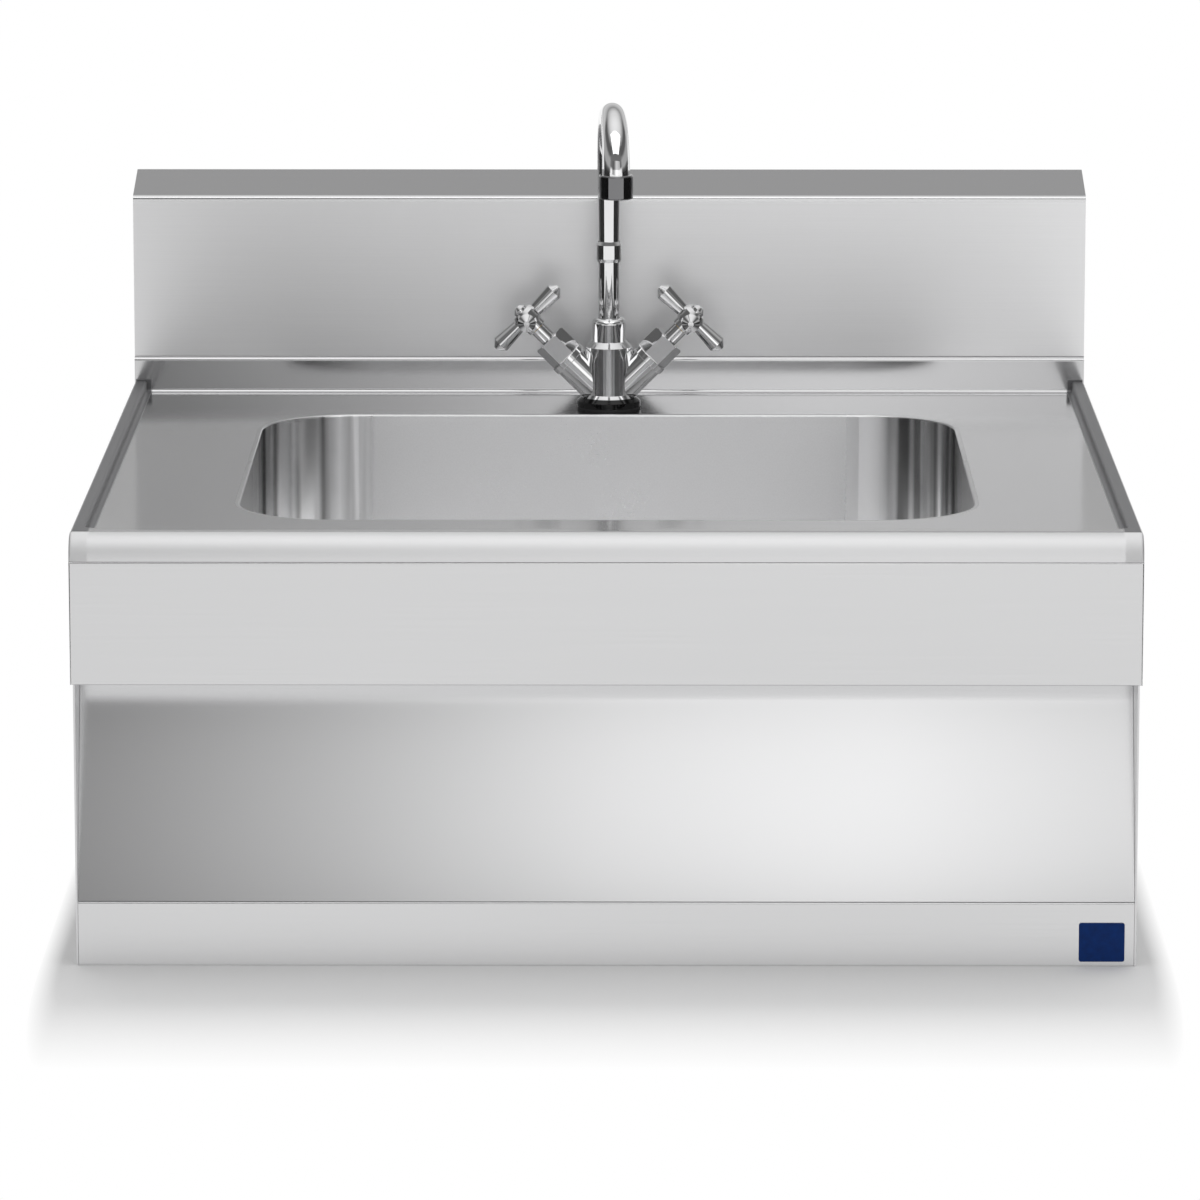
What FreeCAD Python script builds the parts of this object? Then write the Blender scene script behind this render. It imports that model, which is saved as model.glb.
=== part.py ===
import FreeCAD, Part
import math
import os
import Sketcher
from types import SimpleNamespace

# A counter-top basin unit in sheet steel with a two-handle swivel mixer.
# Millimetres. +X is to the right, +Y to the back, +Z up. The origin is the middle of the footprint.

SIZES = [
    # The whole unit and its sheet
    ("unit_width", 700, "width of the worktop"),
    ("unit_depth", 700, "depth from nose to wall"),
    ("deck_height", 280, "work plane above the base"),
    ("top_sheet", 1.5, "sheet of the worktop"),
    ("casing_sheet", 1.2, "sheet of casing and splashback"),
    ("fit_gap", 0.3, "clearance between fitted sheets"),
    ("cut_overrun", 5, "how far a cut runs past its piece"),
    # Worktop
    ("rim_height", 8, "rim above the work plane"),
    ("rim_width", 9, "width of a side rim"),
    ("rim_round", 2, "rounding of the rim's edges"),
    ("nose_radius", 16, "bull nose along the front"),
    ("nose_land", 2, "upright strip under the bull nose"),
    ("front_rim_flat", 10, "front rim behind the bull nose"),
    ("deck_corner", 8, "upright corner rounds inside the rim"),
    ("foot_bend", 2.5, "bend at the foot of rim and upstand"),
    ("upstand_rise", 26, "rear upstand above the work plane"),
    ("upstand_hem", 3, "hem of the upstand in front of the splash"),
    ("hem_round", 2.8, "round at the top of the hem"),
    # Splashback
    ("splash_depth", 56.5, "depth of the splash box"),
    ("splash_face_rise", 119, "upright face of the splash"),
    ("splash_crest_rise", 14, "rise of the sloped crest"),
    ("splash_return", 20, "return down the back"),
    ("splash_lap", 10, "lap behind the upstand"),
    ("splash_bend", 3, "bend under the crest"),
    ("splash_foot_round", 0.8, "foot of the splash on the upstand"),
    # Bowl
    ("deck_beside_bowl", 103, "unit's side to the bowl's inside"),
    ("bowl_setback", 103, "bowl's inside behind the nose"),
    ("deck_behind_bowl", 107, "bowl's inside to the splash"),
    ("bowl_depth", 180, "inside depth"),
    ("bowl_corner", 66, "upright corners, inside"),
    ("bowl_bend", 1.5, "bend from deck to wall"),
    ("lip_land", 2, "flat lip outside the bend, welded into the worktop"),
    ("floor_bend", 40, "bend from wall to floor"),
    ("bowl_sheet", 1.2, "sheet of the bowl"),
    ("weld_gap", 0.05, "ground weld between lip and worktop"),
    # Casing
    ("casing_bend", 1.5, "outer bends of fascia and rail"),
    ("fascia_height", 82, "upright fascia under the nose"),
    ("fascia_top_return", 14, "top return of the fascia"),
    ("panel_recess", 45, "top of the front panel behind the fascia"),
    ("panel_return", 14, "top return of the front panel"),
    ("soffit_margin", 4, "soffit behind the front panel"),
    ("rail_height", 43, "front rail"),
    ("rail_inset", 1, "front rail behind the fascia"),
    ("rail_return", 30, "returns of the rails"),
    ("side_flange", 30, "base and top flanges of a side panel"),
    ("rear_flange", 18, "rear flange of a side panel"),
    ("rear_panel_lap", 10, "rear panel below the crest"),
    ("service_width", 300, "cut-out in the rear panel"),
    ("service_height", 110, "height of the cut-out"),
    ("service_foot", 45, "cut-out above the base"),
    ("service_corner", 12, "corners of the cut-out"),
    ("rear_rail_height", 30, "upright leg of the rear base rail"),
    ("base_hole", 4.5, "radius of a base bolt hole"),
    ("base_hole_inset", 70, "base bolt holes from front and rear"),
    ("stiffener_drop", 22, "drop of the channel under the deck"),
    ("stiffener_overhang", 12, "channel past the bowl's ends"),
    ("stiffener_margin", 14, "channel beside the bowl's lip"),
    ("stiffener_gap", 4, "channel beside the side panel's flange"),
    ("tap_plate_width", 110, "plate under the tap"),
    ("tap_plate_thick", 3, "thickness of the plate"),
    ("badge_width", 30, "plain plate on the rail"),
    ("badge_height", 26, "height of the plate"),
    ("badge_thick", 0.8, "thickness of the plate"),
    ("badge_round", 1.5, "corners of the plate"),
    ("badge_margin", 6.5, "plate from the rail's end"),
    ("badge_drop", 13.7, "plate below the rail's top"),
    # Rear panel screws
    ("screw_shank", 1.9, "radius of a screw"),
    ("screw_hole", 2.05, "radius of its hole"),
    ("screw_head", 3.6, "radius of its head"),
    ("screw_head_rise", 1.1, "height of its head"),
    ("screw_length", 9, "length under the head"),
    ("screw_foot", 16, "lowest screw above the base"),
    ("screw_below_deck", 28, "highest screw under the deck"),
    # Waste
    ("waste_hole_gap", 2, "hole in the bowl round the throat"),
    ("waste_back", 60, "waste behind the bowl's middle"),
    ("waste_flange_width", 12, "visible flange outside the hole"),
    ("waste_flange_rise", 3, "height of the flange"),
    ("waste_throat", 24, "inner radius of the throat"),
    ("waste_wall", 4, "wall of the throat"),
    ("waste_spigot", 12, "throat below the bowl"),
    ("waste_gasket", 1.5, "thickness of a gasket"),
    ("waste_gasket_inset", 3, "gasket inside the flange's edge"),
    ("strainer_thick", 2, "thickness of the strainer"),
    ("strainer_ledge", 3, "ledge that carries the strainer"),
    ("strainer_sink", 3, "strainer below the flange"),
    ("strainer_hole", 3.5, "radius of a strainer hole"),
    ("waste_bolt_radius", 3, "radius of the clamp bolt"),
    ("waste_bolt_head", 5.5, "radius of its head"),
    ("waste_bolt_rise", 2.5, "height of its head"),
    ("waste_body_flange", 4, "flange of the waste body"),
    ("waste_cup_room", 4.5, "room between throat and bolt bridge"),
    ("waste_cup_wall", 3, "wall of the cup"),
    ("waste_bridge", 6, "thickness of the bolt bridge"),
    ("waste_neck_drop", 16, "threaded neck below the cup"),
    ("tailpiece_radius", 20, "tailpiece below the slip nut"),
    ("tailpiece_step", 1, "tailpiece's shoulder under the nut"),
    ("tailpiece_wall", 1.5, "wall of the tailpiece above its shoulder"),
    ("tailpiece_length", 31.3, "tailpiece below its nut"),
    ("tailpiece_seat", 10, "tailpiece inside the neck"),
    ("waste_nut_wall", 4, "wall of the slip nut"),
    ("waste_nut_gap", 1, "slip nut below the cup"),
    ("waste_nut_base", 3, "base of the slip nut"),
    ("slip_gap", 0.1, "clearance between round fitted pieces"),
    # Tap under the deck
    ("tail_radius", 5, "coupling end of a supply tail"),
    ("tail_end", 40, "length of the coupling end"),
    ("tail_step", 0.6, "tail inside its coupling end"),
    ("tail_wall", 1, "wall of a tail"),
    ("tail_gap", 4, "tail to tail"),
    ("tail_seat", 14, "tail inside the body"),
    ("hot_tail_length", 180, "hot tail below the deck"),
    ("cold_tail_length", 210, "cold tail below the deck"),
    ("tail_room", 1, "tails inside the shank"),
    ("shank_wall", 3, "wall of the threaded shank"),
    ("shank_seat", 11, "shank inside the body"),
    ("shank_drop", 48, "shank below the deck"),
    ("tap_hole_gap", 1.5, "hole in the deck round the shank"),
    ("tap_land", 7.5, "tap's foot behind the bowl's lip"),
    ("tap_gasket", 1.5, "gasket under the tap"),
    ("washer_land", 6.5, "washers outside the hole"),
    ("rubber_washer", 3, "thickness of the rubber washer"),
    ("steel_washer", 2, "thickness of the steel washer"),
    ("back_nut_land", 8.5, "corners of the back nut outside the hole"),
    ("back_nut_height", 9, "height of the back nut"),
    # Tap body
    ("foot_land", 5.5, "tap's foot outside the hole"),
    ("foot_thick", 4, "thickness of the foot"),
    ("cove_rise", 5, "cove from foot to column"),
    ("column_wall", 1, "column round the shank"),
    ("column_top", 49, "top of the column above the deck"),
    ("column_round", 4, "round at the column's top"),
    ("chamber_room", 13, "mixing chamber under the riser"),
    ("valve_apex", 6.5, "where the valve axes meet"),
    ("valve_tilt", 45, "degrees from upright to each valve axis"),
    ("arm_radius", 12.5, "arm of the body"),
    ("arm_length", 44, "arm along its axis"),
    ("arm_ring", 13.5, "ring at the arm's mouth"),
    ("arm_ring_width", 5, "width of the ring"),
    ("valve_bore", 8.5, "bore for the valve"),
    ("valve_seat", 22, "seat of the valve along its axis"),
    ("inlet_port", 3.5, "port under the valve"),
    ("inlet_port_foot", 9, "foot of the port along the axis"),
    # Valves
    ("disc_fit", 0.2, "fixed disc inside the bore"),
    ("disc_thick", 3.4, "thickness of a disc"),
    ("disc_step", 1.1, "moving disc inside the fixed disc's edge"),
    ("disc_gap", 0.05, "water film between the discs"),
    ("disc_port", 2.2, "port through a disc"),
    ("disc_port_offset", 3.8, "port beside the axis"),
    ("spindle_foot", 3, "foot of the spindle"),
    ("spindle_radius", 4, "spindle"),
    ("running_gap", 0.05, "running clearance"),
    ("bonnet_foot_gap", 0.6, "bonnet above the spindle's foot"),
    ("hex_radius", 12.7, "corner radius of the bonnet"),
    ("hex_height", 18, "height of the bonnet's hexagon"),
    ("hex_chamfer", 1.2, "chamfer of the hexagon"),
    ("bonnet_neck_wall", 2, "neck round the spindle"),
    ("bonnet_neck_height", 11, "height of the neck"),
    # Handles
    ("handle_gap", 0.6, "handle above the bonnet's neck"),
    ("skirt_radius", 7.5, "skirt of the handle"),
    ("skirt_height", 4, "height of the skirt"),
    ("hub_radius", 10, "hub of the handle"),
    ("hub_height", 12.5, "hub above the skirt"),
    ("hub_round", 3, "rounds of the hub"),
    ("arm_reach", 32, "tip of a handle arm from its axis"),
    ("arm_root", 4.2, "radius of a handle arm at the hub"),
    ("arm_tip", 6.6, "radius of a handle arm near its tip"),
    ("arm_tip_round", 4.6, "round at the tip"),
    ("handle_screw_radius", 2, "screw in the hub"),
    ("handle_screw_head", 3.6, "its head"),
    ("handle_screw_rise", 2.2, "height of its head"),
    ("handle_screw_bite", 9, "screw inside the spindle"),
    ("screw_well", 3, "well for the screw's head"),
    ("cap_radius", 5.2, "cap on the hub"),
    ("cap_rise", 4.6, "height of the cap"),
    ("cap_round", 2.6, "dome of the cap"),
    # Spout
    ("spout_radius", 7.7, "riser"),
    ("spout_wall", 1.5, "wall of the riser"),
    ("spout_tail", 12.3, "riser below its shoulder"),
    ("shoulder_width", 2.1, "shoulder under the nut"),
    ("shoulder_height", 3.4, "height of the shoulder"),
    ("ring_groove", 0.7, "depth of a ring groove"),
    ("ring_width", 2, "width of a sealing ring"),
    ("ring_pitch", 4.5, "ring to ring"),
    ("ring_foot", 2, "lowest ring above the riser's foot"),
    ("nut_land", 2.6, "spout nut outside the shoulder"),
    ("nut_height", 17, "height of the nut"),
    ("nut_round", 4, "dome of the nut"),
    ("collar_foot", 107, "collar above the deck"),
    ("collar_height", 15, "height of the collar"),
    ("collar_wall", 1.3, "wall of the collar"),
    ("collar_round", 2.5, "rounds of the collar"),
    ("collar_edge", 0.5, "edge of the collar"),
    ("arch_foot", 180, "foot of the arch above the deck"),
    ("arch_radius", 38, "arch of the neck"),
    ("neck_tip", 10, "radius of the neck at its tip"),
    ("spigot_step", 0.8, "spigot inside the neck's outside"),
    ("spigot_length", 5, "spigot inside the aerator"),
    ("aerator_step", 2.2, "aerator outside the neck"),
    ("aerator_height", 17, "height of the housing"),
    ("aerator_round", 1, "edges of the housing"),
    ("aerator_wall", 2.2, "wall of the housing"),
    ("insert_height", 9, "flow straightener"),
    ("insert_sink", 1.2, "straightener inside the mouth"),
    ("insert_hole", 1.2, "radius of a hole in it"),
    ("spout_yaw", 4, "degrees that the spout is turned to the right"),
]

STRAINER_HOLES = 8
INSERT_HOLES = 8
HANDLE_ARMS = 4
SCREWS_PER_SIDE = 4
SIDES = (("left", -1), ("right", 1))
VALVES = (("hot", -1), ("cold", 1))
RINGS = 2
DISC_PORTS = 2
HEXAGON_SIDES = 6
FULL_TURN = 360
ALONG_Y = {"axis": (1, 0, 0), "angle": -90}
SAME_PLACE = 1e-6


class Size:
    """A size with its value and the formula, in the sheet's names, that gives it."""

    def __init__(self, value, formula):
        self.value = value
        self.formula = formula

    @staticmethod
    def of(thing):
        return thing if isinstance(thing, Size) else Size(float(thing), str(thing))

    def join(self, other, sign, value):
        return Size(value, f"({self.formula} {sign} {other.formula})")

    def __add__(self, other):
        other = Size.of(other)
        return self.join(other, "+", self.value + other.value)

    def __sub__(self, other):
        other = Size.of(other)
        return self.join(other, "-", self.value - other.value)

    def __mul__(self, other):
        other = Size.of(other)
        return self.join(other, "*", self.value * other.value)

    def __truediv__(self, other):
        other = Size.of(other)
        return self.join(other, "/", self.value / other.value)

    def __radd__(self, other):
        return Size.of(other) + self

    def __rsub__(self, other):
        return Size.of(other) - self

    def __rmul__(self, other):
        return Size.of(other) * self

    def __neg__(self):
        return Size(-self.value, f"(-{self.formula})")


def diagonal(across, up):
    """The length of the slope that goes across and up."""
    formula = f"sqrt({across.formula} * {across.formula} + {up.formula} * {up.formula})"
    return Size(math.hypot(across.value, up.value), formula)


def lean(across, up):
    """The angle, in degrees, from upright to the slope that goes across and up."""
    return Size(math.degrees(math.atan2(across.value, up.value)), f"atan2({across.formula}; {up.formula})")


def sine(angle):
    """The sine of an angle in degrees."""
    return Size(math.sin(math.radians(angle.value)), f"sin({angle.formula} * 1 deg)")


def cosine(angle):
    """The cosine of an angle in degrees."""
    return Size(math.cos(math.radians(angle.value)), f"cos({angle.formula} * 1 deg)")


doc = FreeCAD.newDocument("basin_unit")
sheet = doc.addObject("Spreadsheet::Sheet", "dims")
for row, (alias, number, meaning) in enumerate(SIZES, 1):
    sheet.set(f"A{row}", meaning)
    sheet.set(f"B{row}", str(number))
    sheet.setAlias(f"B{row}", alias)
doc.recompute()
d = SimpleNamespace(**{alias: Size(float(sheet.get(alias)), f"dims.{alias}") for alias, _, _ in SIZES})
subparts = []


# Tools for making features

def bind(thing, name, size):
    """Tie a property to the sheet."""
    thing.setExpression(name, Size.of(size).formula)


def place(thing, at=(0, 0, 0), axis=(0, 0, 1), angle=0):
    """Tie a whole placement to the sheet: a point, and a turn about an axis."""
    point = "; ".join(Size.of(size).formula for size in at)
    turn = "; ".join(str(part) for part in axis)
    thing.setExpression("Placement",
                        f"placement(vector({point}); rotation(vector({turn}); {Size.of(angle).formula}))")


def new_body(label, **where):
    """Start a sub-part."""
    body = doc.addObject("PartDesign::Body", label)
    body.Label = label
    if where:
        place(body, **where)
    subparts.append(body)
    return body


def new_group(label, pieces):
    """Make a sub-part of several separate solids."""
    group = doc.addObject("Part::Compound", label)
    group.Label = label
    group.Links = pieces
    subparts.append(group)
    doc.recompute()


def block(body, name, x, y, z, cut=False):
    """A box between low and high places along each axis, added or cut away."""
    kind = "Subtractive" if cut else "Additive"
    box = body.newObject(f"PartDesign::{kind}Box", name)
    for prop, axis, (low, high) in zip(("Length", "Width", "Height"), "xyz", (x, y, z)):
        bind(box, prop, Size.of(high) - low)
        bind(box, f"Placement.Base.{axis}", low)
    doc.recompute()
    return box


def rod(body, name, at, radius, length, cut=False, axis=(0, 0, 1), angle=0):
    """A cylinder from a point, added or cut away."""
    kind = "Subtractive" if cut else "Additive"
    cylinder = body.newObject(f"PartDesign::{kind}Cylinder", name)
    bind(cylinder, "Radius", radius)
    bind(cylinder, "Height", length)
    place(cylinder, at, axis, angle)
    doc.recompute()
    return cylinder


def origin_part(body, role):
    return next(part for part in body.Origin.OriginFeatures if part.Role == role)


def outline(body, name, plane, points, rise=0):
    """A closed sketch through points, each tied to the sheet, on one of the body's own planes."""
    sketch = body.newObject("Sketcher::SketchObject", name)
    sketch.AttachmentSupport = [(origin_part(body, plane), "")]
    sketch.MapMode = "FlatFace"
    bind(sketch, "AttachmentOffset.Base.z", rise)
    places = [FreeCAD.Vector(Size.of(u).value, Size.of(v).value, 0) for u, v in points]
    count = len(points)
    for i in range(count):
        sketch.addGeometry(Part.LineSegment(places[i], places[(i + 1) % count]), False)
    for i in range(count):
        sketch.addConstraint(Sketcher.Constraint("Coincident", i, 2, (i + 1) % count, 1))
    for i, point in enumerate(points):
        for kind, axis, size in (("DistanceX", -2, point[0]), ("DistanceY", -1, point[1])):
            if isinstance(size, Size):
                index = sketch.addConstraint(Sketcher.Constraint(kind, -1, 1, i, 1, size.value))
                sketch.setExpression(f"Constraints[{index}]", size.formula)
            else:
                sketch.addConstraint(Sketcher.Constraint("PointOnObject", i, 1, axis))
    doc.recompute()
    return sketch


def circle(body, name, radius, centre):
    """A level sketch of one circle, tied to the sheet."""
    sketch = body.newObject("Sketcher::SketchObject", name)
    sketch.AttachmentSupport = [(origin_part(body, "XY_Plane"), "")]
    sketch.MapMode = "FlatFace"
    for axis, size in zip("xyz", centre):
        bind(sketch, f"AttachmentOffset.Base.{axis}", size)
    sketch.addGeometry(Part.Circle(FreeCAD.Vector(0, 0, 0), FreeCAD.Vector(0, 0, 1), radius.value), False)
    sketch.addConstraint(Sketcher.Constraint("Coincident", 0, 3, -1, 1))
    index = sketch.addConstraint(Sketcher.Constraint("Radius", 0, radius.value))
    sketch.setExpression(f"Constraints[{index}]", radius.formula)
    doc.recompute()
    return sketch


def rounded(body, name, x, y, corner, foot, height, cut=False):
    """A slab with rounded upright corners, added upwards from its foot or cut away there."""
    sketch = body.newObject("Sketcher::SketchObject", f"{name}_outline")
    sketch.AttachmentSupport = [(origin_part(body, "XY_Plane"), "")]
    sketch.MapMode = "FlatFace"
    bind(sketch, "AttachmentOffset.Base.z", foot)
    (x0, x1), (y0, y1), r = [size.value for size in x], [size.value for size in y], corner.value
    ends = [((x0 + r, y0), (x1 - r, y0)), ((x1, y0 + r), (x1, y1 - r)),
            ((x1 - r, y1), (x0 + r, y1)), ((x0, y1 - r), (x0, y0 + r))]
    for start, end in ends:
        sketch.addGeometry(Part.LineSegment(FreeCAD.Vector(*start, 0), FreeCAD.Vector(*end, 0)), False)
    centres = [(x1 - r, y0 + r), (x1 - r, y1 - r), (x0 + r, y1 - r), (x0 + r, y0 + r)]
    for quarter, centre in enumerate(centres, -1):
        whole = Part.Circle(FreeCAD.Vector(*centre, 0), FreeCAD.Vector(0, 0, 1), r)
        sketch.addGeometry(Part.ArcOfCircle(whole, quarter * math.pi / 2, (quarter + 1) * math.pi / 2), False)
    for i in range(4):
        sketch.addConstraint(Sketcher.Constraint("Tangent", i, 2, 4 + i, 1))
        sketch.addConstraint(Sketcher.Constraint("Tangent", 4 + i, 2, (i + 1) % 4, 1))
        sketch.addConstraint(Sketcher.Constraint(("Horizontal", "Vertical")[i % 2], i))
    for i in range(1, 4):
        sketch.addConstraint(Sketcher.Constraint("Equal", 4, 4 + i))
    for kind, parts, size in (("DistanceX", (-1, 1, 1, 1), x[1]), ("DistanceX", (-1, 1, 3, 1), x[0]),
                              ("DistanceY", (-1, 1, 0, 1), y[0]), ("DistanceY", (-1, 1, 2, 1), y[1]),
                              ("Radius", (4,), corner)):
        index = sketch.addConstraint(Sketcher.Constraint(kind, *parts, size.value))
        sketch.setExpression(f"Constraints[{index}]", size.formula)
    doc.recompute()
    before = 0 if body.Shape.isNull() else body.Shape.Volume
    feature = body.newObject("PartDesign::Pocket" if cut else "PartDesign::Pad", name)
    feature.Profile = sketch
    feature.Reversed = cut
    bind(feature, "Length", height)
    doc.recompute()
    if cut and not feature.Shape.Volume < before:
        raise RuntimeError(f"{body.Label}: {name} cuts nothing")
    return feature


def hexagon(body, corner, foot, height):
    """A six-sided upright prism, added."""
    prism = body.newObject("PartDesign::AdditivePrism", "hexagon")
    prism.Polygon = HEXAGON_SIDES
    bind(prism, "Circumradius", corner)
    bind(prism, "Height", height)
    place(prism, (0, 0, foot))
    doc.recompute()


def turn(body, name, points, cut=False):
    """A round solid turned from an outline of radius and height, added or cut away."""
    sketch = outline(body, f"{name}_outline", "XZ_Plane", points)
    feature = body.newObject("PartDesign::Groove" if cut else "PartDesign::Revolution", name)
    feature.Profile = sketch
    feature.ReferenceAxis = (sketch, ["V_Axis"])
    feature.Angle = FULL_TURN
    doc.recompute()
    return feature


def ring_outline(inner, outer, foot, top):
    return [(inner, foot), (outer, foot), (outer, top), (inner, top)]


def lies(points, **fixed):
    """Whether every point has the given coordinates."""
    return all(abs(getattr(point, axis) - Size.of(size).value) < SAME_PLACE
               for point in points for axis, size in fixed.items())


def edges(feature, test):
    """Names of the feature's edges whose start, middle and end pass a test."""
    names = []
    for number, edge in enumerate(feature.Shape.Edges, 1):
        first, last = edge.ParameterRange
        points = [edge.valueAt(first + (last - first) * share) for share in (0, 0.5, 1)]
        if test(points):
            names.append(f"Edge{number}")
    return names


def edges_at(feature, **fixed):
    """Names of the feature's edges that lie wholly at the given coordinates."""
    return edges(feature, lambda points: lies(points, **fixed))


def upright(feature, places):
    """Names of the upright edges at the given places."""
    return [name for x, y in places for name in edges_at(feature, x=x, y=y)]


def ring_edges(feature, radius):
    """Names of the full circles of the given radius."""
    names = []
    for number, edge in enumerate(feature.Shape.Edges, 1):
        round_edge = isinstance(edge.Curve, Part.Circle)
        if round_edge and edge.isClosed() and abs(edge.Curve.Radius - radius.value) < SAME_PLACE:
            names.append(f"Edge{number}")
    return names


def soften(body, base, names, radius):
    """Round the named edges."""
    if not names:
        raise ValueError(f"{body.Label}: no edges to soften")
    feature = body.newObject("PartDesign::Fillet", f"{body.Label}_round")
    feature.Base = (base, names)
    bind(feature, "Radius", radius)
    doc.recompute()
    return feature


def polar(body, feature, count):
    """Repeat a feature evenly about the body's upright axis."""
    pattern = body.newObject("PartDesign::PolarPattern", f"{feature.Name}_ring")
    pattern.Originals = [feature]
    pattern.Axis = (origin_part(body, "Z_Axis"), [""])
    pattern.Angle = FULL_TURN
    pattern.Occurrences = count
    body.Tip = pattern
    doc.recompute()
    return pattern


def span(sign, inner, outer):
    """Low and high X of a stretch from inner to outer, on the side that the sign names."""
    return (inner, outer) if sign > 0 else (-outer, -inner)


def both(half):
    return (-half, half)


# Places that several pieces share

side = d.unit_width / 2
front = -d.unit_depth / 2
rear = d.unit_depth / 2
rim_top = d.deck_height + d.rim_height
nose_foot = rim_top - d.nose_radius - d.nose_land
deck_front = front + d.nose_radius + d.front_rim_flat
under_deck = d.deck_height - d.top_sheet
splash_face = rear - d.splash_depth
upstand_top = d.deck_height + d.upstand_rise
upstand_back = splash_face + d.top_sheet
upstand_face = splash_face - d.upstand_hem
face_top = upstand_top + d.splash_face_rise
crest = face_top + d.splash_crest_rise
crest_slope = d.splash_crest_rise / d.splash_depth
bowl_lip = d.bowl_bend + d.lip_land
bowl_half = side - d.deck_beside_bowl
bowl_front = front + d.bowl_setback
bowl_rear = splash_face - d.deck_behind_bowl
bowl_floor = d.deck_height - d.bowl_depth
bowl_under = bowl_floor - d.bowl_sheet
cheek_out = side - d.top_sheet - d.fit_gap
cheek_in = cheek_out - d.casing_sheet
cheek_front = front + d.casing_sheet + d.fit_gap
flange_in = cheek_in - d.side_flange
panel_half = cheek_in - d.fit_gap
fascia_foot = nose_foot - d.fascia_height
back_rear = rear - d.casing_sheet - d.fit_gap
back_front = back_rear - d.casing_sheet
rail_front = front + d.rail_inset
screw_x = cheek_in - d.rear_flange / 2
screw_pitch = (under_deck - d.screw_below_deck - d.screw_foot) / (SCREWS_PER_SIDE - 1)
screw_heights = [d.screw_foot + screw_pitch * step for step in range(SCREWS_PER_SIDE)]

# The waste, measured from the bowl's floor

waste_at = (0, (bowl_front + bowl_rear) / 2 + d.waste_back, bowl_floor)
throat_out = d.waste_throat + d.waste_wall
throat_in = d.waste_throat - d.strainer_ledge
throat_foot = -d.bowl_sheet - d.waste_spigot
waste_hole = throat_out + d.waste_hole_gap
flange_out = waste_hole + d.waste_flange_width
gasket_out = flange_out - d.waste_gasket_inset
flange_top = d.waste_gasket + d.waste_flange_rise
ledge_top = flange_top - d.strainer_sink - d.strainer_thick
waste_seat = -d.bowl_sheet - d.waste_gasket
bridge_top = throat_foot - d.waste_cup_room
bridge_foot = bridge_top - d.waste_bridge
cup_foot = bridge_foot - d.waste_cup_wall
cup_in = throat_out + d.slip_gap
waste_neck_foot = cup_foot - d.waste_neck_drop
tailpiece_seat = d.tailpiece_radius - d.tailpiece_step
waste_neck_in = tailpiece_seat + d.slip_gap
waste_neck_out = waste_neck_in + d.waste_cup_wall

# The tap, measured from the deck

tail_offset = d.tail_radius + d.tail_gap / 2
tail_tube = d.tail_radius - d.tail_step
shank_in = tail_offset + d.tail_radius + d.tail_room
shank_out = shank_in + d.shank_wall
tap_hole = shank_out + d.tap_hole_gap
tap_foot = tap_hole + d.foot_land
column = shank_out + d.column_wall
tap_y = bowl_rear + bowl_lip + d.tap_land + tap_foot
tap_at = (0, tap_y, d.deck_height)
valve_at = (0, tap_y, d.deck_height + d.valve_apex)
shoulder = d.spout_radius + d.shoulder_width
shoulder_foot = d.column_top - d.shoulder_height - d.fit_gap
spout_foot = shoulder_foot - d.spout_tail
spout_bore = d.spout_radius - d.spout_wall
ring_floor = d.spout_radius - d.ring_groove
ring_feet = [spout_foot + d.ring_foot + d.ring_pitch * step for step in range(RINGS)]
neck_foot = d.collar_foot + d.collar_height / 2
spout_reach = 2 * d.arch_radius
spout_where = {"at": tap_at, "angle": d.spout_yaw}
spigot = d.neck_tip - d.spigot_step
spigot_foot = d.arch_foot - d.spigot_length
aerator_out = d.neck_tip + d.aerator_step
aerator_in = aerator_out - d.aerator_wall
aerator_foot = d.arch_foot - d.aerator_height

# Heights along a valve's axis, from where the two axes meet

disc = d.valve_bore - d.disc_fit
moving_disc = disc - d.disc_step
moving_foot = d.valve_seat + d.disc_thick + d.disc_gap
moving_top = moving_foot + d.disc_thick
spindle_step = moving_top + d.spindle_foot
bonnet_foot = spindle_step + d.bonnet_foot_gap
hex_top = d.arm_length + d.hex_height
bonnet_top = hex_top + d.bonnet_neck_height
handle_foot = bonnet_top + d.handle_gap
skirt_top = handle_foot + d.skirt_height
hub_top = skirt_top + d.hub_height
well_foot = hub_top - d.screw_well
spindle_top = well_foot - d.handle_screw_rise
screw_tip = spindle_top - d.handle_screw_bite


def along_valve(sign, along):
    """A point on a valve's axis, in the tap's frame."""
    return (sign * along * sine(d.valve_tilt), 0, d.valve_apex + along * cosine(d.valve_tilt))


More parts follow.
